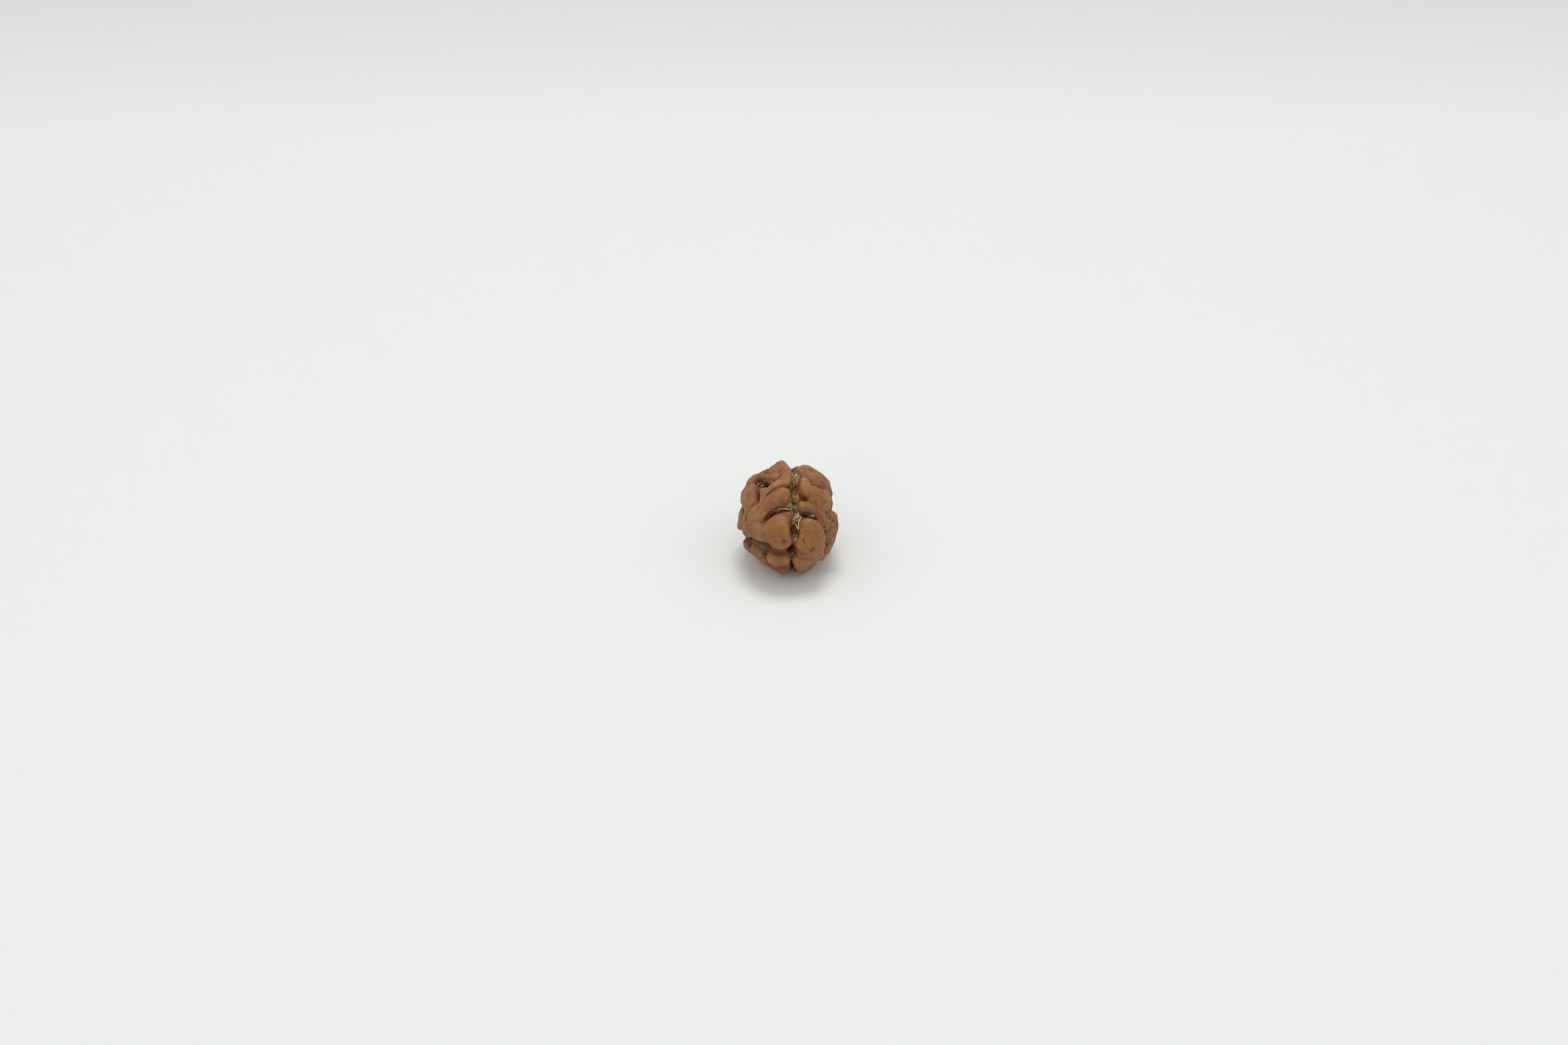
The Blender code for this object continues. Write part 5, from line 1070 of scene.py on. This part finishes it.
# Single strands, given one by one: half width, lift, tone (0 dark, 1 pale), then points in the photograph's
# view.
strands = [
    (0.12, 0.3, 0.8, (-2.95, 1.15), (-2.1, 1.4), (-1.1, 1.68), (0.3, 1.6), (0.65, 1.95)),
    (0.09, 0.35, 0.7, (-2.6, 1.05), (-1.5, 1.5), (-0.4, 1.78), (0.25, 1.75)),
    (0.15, 0.3, 0.9, (1.3, 0.8), (1.9, 0.55), (2.5, 0.3)),
    (0.09, 0.28, 0.9, (2.85, 0.45), (2.5, -0.1), (2.1, -0.95)),
    (0.1, 0.4, 0.8, (1.9, 0), (2, -0.9), (1.8, -1.6), (1.9, -2.2)),
    (0.1, 0.3, 0.7, (0.95, -0.85), (0.7, -1.3), (0.6, -2)),
    (0.1, 0.35, 0.8, (1.3, -0.9), (1.55, -1.6), (1.75, -2.1)),
    (0.12, 0.25, 0.8, (4, 0.1), (4.6, 0.35), (5.2, 0.15)),
    (0.09, 0.3, 0.9, (4.3, 0.1), (4.8, 0.5), (5.2, 0.45)),
    (0.12, 0.06, 0.8, (8.6, 0.7), (8.8, 0.6), (9.1, 0.45)),
    (0.1, 0.05, 0.7, (8.6, -1.2), (8.8, -1.05), (9.05, -1.1)),
    (0.09, 0.05, 0.6, (8.65, 0.2), (8.8, -0.1), (8.75, -0.5)),
    (0.12, 0.03, 0.55, (-3.6, 7.7), (-3.35, 7.5), (-3.2, 7.25)),
    (0.09, 0.02, 0.5, (-3.5, 7.45), (-3.35, 7.3), (-3.35, 7.05)),
    (0.09, 0.02, 0.55, (-4.35, 5.15), (-4.2, 4.9), (-4.15, 4.65)),
    (0.05, 0.02, 0.6, (-1.5, 9.6), (-1.3, 9.5)),
    (0.1, 0.1, 1, (0.8, -6.5), (0.95, -6.7), (1.05, -6.6)),
    (0.12, 0.35, 0.9, (1.2, 7.9), (1.5, 7.6), (1.8, 7.7)),
    (0.13, 0.4, 1, (1.1, 8.4), (1.4, 8), (1.35, 7.3)),
    (0.12, 0.4, 0.9, (2, 8.5), (1.8, 7.9), (1.6, 7.5)),
    (0.12, 0.35, 0.9, (1.15, 4.1), (1.35, 3.7), (1.25, 3.3)),
    (0.1, 0.4, 0.8, (2, 4.6), (1.7, 4), (1.75, 3.4)),
    (0.12, 0.35, 0.8, (1.05, 6.4), (1.25, 6.6), (1.5, 6.5)),
]

fibreLook = {
    "lineStep": 0.25,  # mm between the sampled points of a band's line
    "halfWidth": (0.018, 0.05),  # of a fibre's flat side, in mm
    "flakes": 0.5,  # share of them that are flat flakes, as wide as flakeHalf
    "flakeHalf": (0.05, 0.14),
    "flatness": 0.35,  # thickness over width
    "ragged": 0.35,  # how unevenly wide a fibre is along its length
    "hollowWanted": 0.08,  # mm that the shell lies lower there than round about
    "rings": 8,
    "corners": 5,
    "tip": 0.3,  # width at the ends, as a share
    "tipAt": 0.02,  # share of the length that is cut off each end, where the width would be nought
    "turn": 0.5,  # radians that the flat side is turned, and twisted along the length
    "twist": 0.9,
    "startAcross": (0.3, 1.1),  # where it starts, in shares of the band's half width
    "slantSpread": 24,  # degrees
    "lengthSkew": (1, 2.2),  # most are short
    "curl": 0.16,  # share of the length
    "againstTheLie": 0.3,  # share of the fibres that lie the other way
    "lowEnd": 0.6,  # the first end's most lift, as a share of the free end's
    "arch": (-0.05, 0.15),  # mm
    "overShell": 0.6,  # share of its width that a fibre's middle line keeps over the shell
    "clumpSize": 0.7,  # mm, of the pale and brown clumps
    "clumpTone": 0.35,
    "flakeTone": (0.25, 0.85),
    "fibreTone": (0.15, 1),
    "toneSkew": (1, 1.3),
    "toneAlong": (-0.12, 0.16),  # added from the first end to the last
    "strandStep": 0.1,  # mm between the sampled points of a listed strand
    "strandEnds": (0.3, 0.6),  # lift of its ends, as shares of its own
    "seed": 41,
}
hollowRing = {"radius": 1.1, "places": 6}  # mm, round a point, to tell whether it lies in a hollow


# paths that bridge the seams: radius = the greater of r(d) + share w and the chord between the raised ends
def raisedPaths(strokes, q, width, liftStart, liftEnd, arch):
    flat = q.reshape(-1, 3)
    d = flat / np.linalg.norm(flat, axis=1)[:, None]
    r = surfaceRadius(strokes, d).reshape(q.shape[:2])
    s = np.linspace(0, 1, q.shape[1])[None, :]
    chord = (r[:, :1] + liftStart[:, None]) * (1 - s) + (r[:, -1:] + liftEnd[:, None]) * s
    chord = chord + arch[:, None] * 4 * s * (1 - s)
    radius = np.maximum(r + fibreLook["overShell"] * width[:, None], chord)
    return d.reshape(q.shape) * radius[..., None]


# how much lower the shell is at the points than on a ring of places round them
def hollowAt(strokes, p):
    places = hollowRing["places"]
    d = p / np.linalg.norm(p, axis=1)[:, None]
    u = np.cross(d, [0.3, 0.5, 0.81])  # a way along which no seam lies
    u /= np.linalg.norm(u, axis=1)[:, None]
    v = np.cross(d, u)
    a = np.linspace(0, 2 * np.pi, places + 1)[:-1, None, None]
    around = p + hollowRing["radius"] * (np.cos(a) * u + np.sin(a) * v)
    ring = np.concatenate([p[None], around]).reshape(-1, 3)
    r = surfaceRadius(strokes, ring / np.linalg.norm(ring, axis=1)[:, None]).reshape(places + 1, -1)
    return r[1:].mean(0) - r[0]


# how much paler the pulp is at the points: the sum of the patches' gain e^(-(distance / radius)^2)
def pulpTone(p, places):
    _, _, radius, gain = np.array(pulpTones).T
    distance = np.linalg.norm(p[:, None] - places[None], axis=2)
    return (gain * np.exp(-(distance / radius) ** 2)).sum(1)


# which points lie outside all the holes
def outsideHoles(p, holes):
    radius = np.array(pulpHoles)[:, 2]
    return (np.linalg.norm(p[:, None] - holes[None], axis=2) > radius).all(1)


# fibres of one band: q(s) = start + along s + curl 4 s (1 - s), from near a wall and slanted to the middle
def bandPaths(strokes, band, knots, holes, places, rng):
    look = fibreLook
    line = curveThrough(knots, look["lineStep"])
    tangent = np.gradient(line, axis=0)
    tangent /= np.linalg.norm(tangent, axis=1)[:, None]
    count = band["count"]
    at = rng.uniform(0, len(line) - 1.001, count)  # just short of the last point
    knot, part = at.astype(int), (at % 1)[:, None]
    centre = line[knot] * (1 - part) + line[knot + 1] * part
    along = tangent[knot]
    out = centre / np.linalg.norm(centre, axis=1)[:, None]
    side = np.cross(out, along)
    side /= np.linalg.norm(side, axis=1)[:, None]
    hand = rng.choice([-1.0, 1.0], count)[:, None]
    lie = np.where(rng.random(count) < look["againstTheLie"], -1.0, 1.0)[:, None]
    slant = np.radians(rng.normal(band["slant"], look["slantSpread"], count))[:, None]
    low, high = band["length"]
    length = (low + (high - low) * rng.beta(*look["lengthSkew"], count))[:, None]
    start = centre + side * hand * band["half"] * rng.uniform(*look["startAcross"], count)[:, None]
    way = along * lie * np.cos(slant) - side * hand * np.sin(slant)
    curl = np.cross(out, way) * rng.normal(0, look["curl"], count)[:, None] * length
    s = np.linspace(0, 1, look["rings"])[None, :, None]
    q = start[:, None] + way[:, None] * length[:, None] * s + curl[:, None] * 4 * s * (1 - s)
    middle = q[:, look["rings"] // 2]
    keep = hollowAt(strokes, middle) > look["hollowWanted"]
    keep &= outsideHoles(middle, holes)
    return finishedFibres(strokes, band, q[keep], middle[keep], places, rng)


# the kept fibres' raised paths, half widths and tones
def finishedFibres(strokes, band, q, middle, places, rng):
    look = fibreLook
    count = len(q)
    flake = rng.random(count) < look["flakes"]
    flakeHalf = rng.uniform(*look["flakeHalf"], count)
    width = np.where(flake, flakeHalf, rng.uniform(*look["halfWidth"], count))
    liftStart = rng.uniform(0, look["lowEnd"] * band["lift"][1], count)
    liftEnd = rng.uniform(*band["lift"], count)
    arch = rng.uniform(*look["arch"], count)
    paths = raisedPaths(strokes, q, width, liftStart, liftEnd, arch)
    low, high = look["fibreTone"]
    flakeTone = rng.uniform(*look["flakeTone"], count)
    tone = np.where(flake, flakeTone, low + (high - low) * rng.beta(*look["toneSkew"], count))
    tone = tone + look["clumpTone"] * lumps(middle, look["clumpSize"], "fibres") + pulpTone(middle, places)
    return paths, width, np.clip(tone, 0, 1)


# listed strands: a Catmull-Rom line through their knots on the seed, resampled to the same number of rings
def strandPaths(strokes, knotSets):
    low, high = fibreLook["strandEnds"]
    out = []
    for knots in knotSets:
        line = curveThrough(knots, fibreLook["strandStep"])
        at = np.linspace(0, len(line) - 1, fibreLook["rings"])
        out.append(np.stack([np.interp(at, np.arange(len(line)), column) for column in line.T], 1))
    width, lift, tone = (np.array([row[i] for row in strands]) for i in range(3))
    return raisedPaths(strokes, np.stack(out), width, low * lift, high * lift, lift), width, tone


# flat tubes: ring point = path + w(s) (cos a u + flatness sin a v),
# w(s) = w (tip + (1 - tip) sqrt(sin(pi s))), made uneven by chance
def tubes(paths, width, rng):
    look = fibreLook
    count, rings = paths.shape[:2]
    corners = look["corners"]
    tangent = np.gradient(paths, axis=1)
    tangent /= np.linalg.norm(tangent, axis=2)[..., None]
    out = paths / np.linalg.norm(paths, axis=2)[..., None]
    side = np.cross(tangent, out)
    side /= np.linalg.norm(side, axis=2)[..., None]
    up = np.cross(side, tangent)
    s = np.linspace(0, 1, rings)
    turn = rng.normal(0, look["turn"], count)[:, None]
    turn = turn + rng.normal(0, look["twist"], count)[:, None] * s[None, :]
    cosTurn, sinTurn = np.cos(turn)[..., None], np.sin(turn)[..., None]
    u, v = side * cosTurn + up * sinTurn, up * cosTurn - side * sinTurn
    swell = np.sqrt(np.sin(np.pi * np.clip(s, look["tipAt"], 1 - look["tipAt"])))
    w = width[:, None] * (look["tip"] + (1 - look["tip"]) * swell)[None, :]
    w = w * (1 + look["ragged"] * rng.uniform(-1, 1, w.shape))
    a = 2 * np.pi * np.arange(corners) / corners
    ring = np.cos(a)[:, None] * u[..., None, :] + look["flatness"] * np.sin(a)[:, None] * v[..., None, :]
    p = (paths[..., None, :] + w[..., None, None] * ring).reshape(-1, 3)
    index = np.arange(count * rings * corners).reshape(count, rings, corners)
    here, after = index[:, :-1], index[:, 1:]
    sides = np.stack([here, np.roll(here, -1, 2), np.roll(after, -1, 2), after], -1).reshape(-1, 4)
    return p, [sides, index[:, 0, ::-1].copy(), index[:, -1].copy()]


crumbLook = {
    "radius": (0.03, 0.14),  # mm
    "sizeSkew": (1, 2),  # most are small
    "roughness": 0.7,  # how lumpy
    "spread": 0.6,  # of the lumps
    "stretch": (0.6, 1.3),  # along x, y and z, each at random
    "lineStep": 0.1,  # mm between the sampled points of a band's line
    "scatter": 0.45,  # share of the band's half width
    "hollowWanted": 0.18,  # mm, as for the fibres
    "deepest": 1.2,  # mm of a hollow's depth that count
    "rise": 0.35,  # share of its radius that the lowest crumb's middle keeps over the shell
    "tone": (0.2, 0.72),
    "clumpTone": 0.3,
    "seed": 7,
}


# random places in a band: a point of its line and a shift of about scatter times half its width
def scattered(band, knots, rng):
    line = curveThrough(knots, crumbLook["lineStep"])
    centre = line[rng.integers(0, len(line), band["crumbs"])]
    return centre + rng.normal(0, crumbLook["scatter"] * band["half"], centre.shape)


# crumbs: an icosahedron each, corner = centre + radius (1 + roughness noise) unit corner, stretched
def crumbs(centres, radius, rng):
    look = crumbLook
    g = (1 + 5 ** 0.5) / 2
    unit = np.array([(-1, g, 0), (1, g, 0), (-1, -g, 0), (1, -g, 0), (0, -1, g), (0, 1, g), (0, -1, -g),
                     (0, 1, -g), (g, 0, -1), (g, 0, 1), (-g, 0, -1), (-g, 0, 1)]) / (1 + g * g) ** 0.5
    faces = np.array([(0, 11, 5), (0, 5, 1), (0, 1, 7), (0, 7, 10), (0, 10, 11), (1, 5, 9), (5, 11, 4),
                      (11, 10, 2), (10, 7, 6), (7, 1, 8), (3, 9, 4), (3, 4, 2), (3, 2, 6), (3, 6, 8),
                      (3, 8, 9), (4, 9, 5), (2, 4, 11), (6, 2, 10), (8, 6, 7), (9, 8, 1)])
    count = len(centres)
    uneven = rng.normal(0, look["spread"], (count, len(unit))).clip(-1, 1)
    size = radius[:, None] * (1 + look["roughness"] * uneven)
    stretch = rng.uniform(*look["stretch"], (count, 1, 3))
    p = centres[:, None] + size[..., None] * unit[None] * stretch
    return p.reshape(-1, 3), [(faces[None] + len(unit) * np.arange(count)[:, None, None]).reshape(-1, 3)]


def addSeed(strokes):
    p, squares, paint = seedSurface(strokes)
    seed = addPiece("rudrakshaSeed", p, [squares], paint, stoneMaterial())
    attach(seed, "root")
    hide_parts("seed")
    print("stage 2: the seed has", len(squares) * 2, "triangles")


def addFibres(strokes, straw, holes, places, bandLines, strandLines):
    look = fibreLook
    rng = np.random.default_rng(look["seed"])
    sets = [bandPaths(strokes, band, knots, holes, places, rng)
            for band, knots in zip(fibreBands.values(), bandLines)]
    sets.append(strandPaths(strokes, strandLines))
    paths, width, tone = (np.concatenate(part) for part in zip(*sets))
    p, faces = tubes(paths, width, rng)
    perRing = np.linspace(*look["toneAlong"], look["rings"])[None, :, None]
    tones = np.broadcast_to(tone[:, None, None] + perRing, (len(tone), look["rings"], look["corners"]))
    fibres = addPiece("pulpFibres", p, faces, {"tone": tones.ravel()}, straw)
    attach(fibres, "root")
    print("stage 3:", len(tone), "fibres of dried pulp")


def addCrumbs(strokes, straw, holes, places, bandLines):
    look = crumbLook
    rng = np.random.default_rng(look["seed"])
    bands = list(fibreBands.values())
    where = np.concatenate([scattered(band, knots, rng) for band, knots in zip(bands, bandLines)])
    fill = np.concatenate([np.full(band["crumbs"], band["fill"]) for band in bands])
    small, large = look["radius"]
    radius = small + (large - small) * rng.beta(*look["sizeSkew"], len(where))
    depth = hollowAt(strokes, where)
    keep = (depth > look["hollowWanted"]) & outsideHoles(where, holes)
    where, fill, radius, depth = where[keep], fill[keep], radius[keep], depth[keep]
    d = where / np.linalg.norm(where, axis=1)[:, None]
    up = rng.uniform(0, 1, len(d)) * fill * np.minimum(depth, look["deepest"]) + look["rise"] * radius
    centres = d * (surfaceRadius(strokes, d) + up)[:, None]
    p, faces = crumbs(centres, radius, rng)
    tone = rng.uniform(*look["tone"], len(radius))
    tone = tone + look["clumpTone"] * lumps(where, fibreLook["clumpSize"], "crumbs")
    tone = np.clip(tone + pulpTone(where, places), 0, 1)
    tones = np.repeat(tone, len(p) // len(tone))
    pieces = addPiece("pulpCrumbs", p, faces, {"tone": tones}, straw, smooth=False)
    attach(pieces, "root")
    print("stage 4:", len(radius), "crumbs")


def main():
    strokes = allStrokes()
    addSeed(strokes)
    lines = [[row[:2] for row in pulpHoles], [row[:2] for row in pulpTones]]
    lines += [band["line"] for band in fibreBands.values()] + [row[3:] for row in strands]
    holes, places, *laid = layLines(strokes, lines)
    straw = strawMaterial()
    addFibres(strokes, straw, holes, places, laid[:len(fibreBands)], laid[len(fibreBands):])
    addCrumbs(strokes, straw, holes, places, laid[:len(fibreBands)])


main()

stageLook = {
    "paper": "#e9eae9",
    "paperFarShade": "#cfd1d0",  # painted shade: what it fades to at the back, where less light falls
    "fade": (0.17, 0.28),  # m behind the seed
    "paperRoughness": 0.9,
    "paperGloss": 0.15,
    "flatFront": 0.3,  # m, before the seed, where a first row of points lies
    "flatBack": 0.19,  # m, behind the seed, where the paper starts to bend up
    "bendRadius": 0.1,
    "bendPoints": 25,
    "wallHeight": 0.8,
    "reach": 1.1,
    "lens": 100.0,  # mm, as the sensor
    "sensor": 36.0,
    "clip": (0.01, 10.0),
    "distance": 0.8908,
    "tilt": 35.0,  # degrees that the camera looks down
    "seedInPicture": (0.81, 1.0),  # mm right of and above the picture's middle
}


# paper sweep: flat to flatBack, a quarter circle of bendRadius, then straight up; y and z along its path
def addPaper():
    look = stageLook
    back, bend, reach = look["flatBack"], look["bendRadius"], look["reach"]
    turn = np.linspace(0, np.pi / 2, look["bendPoints"])
    y = np.concatenate([[-reach, -look["flatFront"]], back + bend * np.sin(turn), [back + bend]])
    z = np.concatenate([[0, 0], bend * (1 - np.cos(turn)), [bend + look["wallHeight"]]])
    x = np.linspace(-reach, reach, 3)
    p = np.stack([np.broadcast_to(x[:, None], (3, len(y))), np.broadcast_to(y, (3, len(y))),
                  np.broadcast_to(z, (3, len(z)))], -1).reshape(-1, 3)
    index = np.arange(len(p)).reshape(3, len(y))
    faces = np.stack([index[:-1, :-1], index[1:, :-1], index[1:, 1:], index[:-1, 1:]], -1).reshape(-1, 4)
    mesh = bpy.data.meshes.new("paper")
    mesh.from_pydata(p.tolist(), [], faces.tolist())
    mesh.polygons.foreach_set("use_smooth", np.ones(len(faces), bool))
    mesh.materials.append(paperMaterial())
    paper = bpy.data.objects.new("paper", mesh)
    bpy.context.scene.collection.objects.link(paper)


# Matt paper: white, with next to no gloss, and painted shade that greys it towards the back.
def paperMaterial():
    look = stageLook
    material, tree, shader = newMaterial("matt white photographer's paper")
    place = addNode(tree, "ShaderNodeTexCoord").outputs["Object"]
    behind = addNode(tree, "ShaderNodeSeparateXYZ", {0: place}).outputs["Y"]
    near, far = look["fade"]
    fade = addNode(tree, "ShaderNodeMapRange", {"Value": behind, "From Min": near, "From Max": far},
                   interpolation_type="SMOOTHSTEP").outputs[0]
    colour = mixed(tree, fade, linear(look["paper"]), linear(look["paperFarShade"]))
    tree.links.new(colour, shader.inputs["Base Color"])
    shader.inputs["Roughness"].default_value = look["paperRoughness"]
    shader.inputs["Specular IOR Level"].default_value = look["paperGloss"]
    return material


lightLook = {
    "overhead": {"at": (0.02, 0.18, 0.92), "size": 0.36, "watts": 3.7, "colour": (0.96, 0.985, 1.0)},
    "front": {"at": (-0.4, -0.95, 0.38), "size": 0.6, "watts": 0.55, "colour": (1.0, 0.99, 0.97)},
}
skyLook = {"colour": (1.0, 0.995, 0.97), "zenith": 1.0, "horizon": 0.36}


def addLights():
    for name, look in lightLook.items():
        light = bpy.data.lights.new(name, "AREA")
        light.size, light.energy, light.color = look["size"], look["watts"], look["colour"]
        lamp = bpy.data.objects.new(name, light)
        lamp.location = look["at"]
        lamp.rotation_euler = (-Vector(look["at"])).to_track_quat("-Z", "Y").to_euler()
        bpy.context.scene.collection.objects.link(lamp)


# a sky whose strength climbs from the horizon's to the zenith's with the height of the way looked in
def addSky():
    world = bpy.data.worlds.new("room light")
    world.use_nodes = True
    tree = world.node_tree
    background = tree.nodes["Background"]
    background.inputs["Color"].default_value = skyLook["colour"] + (1.0,)
    way = addNode(tree, "ShaderNodeTexCoord").outputs["Generated"]
    height = addNode(tree, "ShaderNodeSeparateXYZ", {0: way}).outputs["Z"]
    glow = mapped(tree, height, 0.0, 1.0, skyLook["horizon"], skyLook["zenith"])
    tree.links.new(glow, background.inputs["Strength"])
    bpy.context.scene.world = world


def addCamera():
    look = stageLook
    tilt = np.radians(look["tilt"])
    up = np.array([0, np.sin(tilt), np.cos(tilt)])
    back = np.array([0, -np.cos(tilt), np.sin(tilt)])
    right, above = look["seedInPicture"]
    aim = (seedMiddle - right * np.array([1, 0, 0]) - above * up) * mm
    camera = bpy.data.cameras.new("camera")
    camera.lens, camera.sensor_width = look["lens"], look["sensor"]
    camera.clip_start, camera.clip_end = look["clip"]
    view = bpy.data.objects.new("camera", camera)
    view.location = aim + back * look["distance"]
    view.rotation_euler = Vector(back).to_track_quat("Z", "Y").to_euler()
    bpy.context.scene.collection.objects.link(view)
    bpy.context.scene.camera = view


addPaper()
addLights()
addSky()
addCamera()
bpy.context.scene.view_settings.view_transform = "Standard"
print("stage 5: paper, lights and camera")
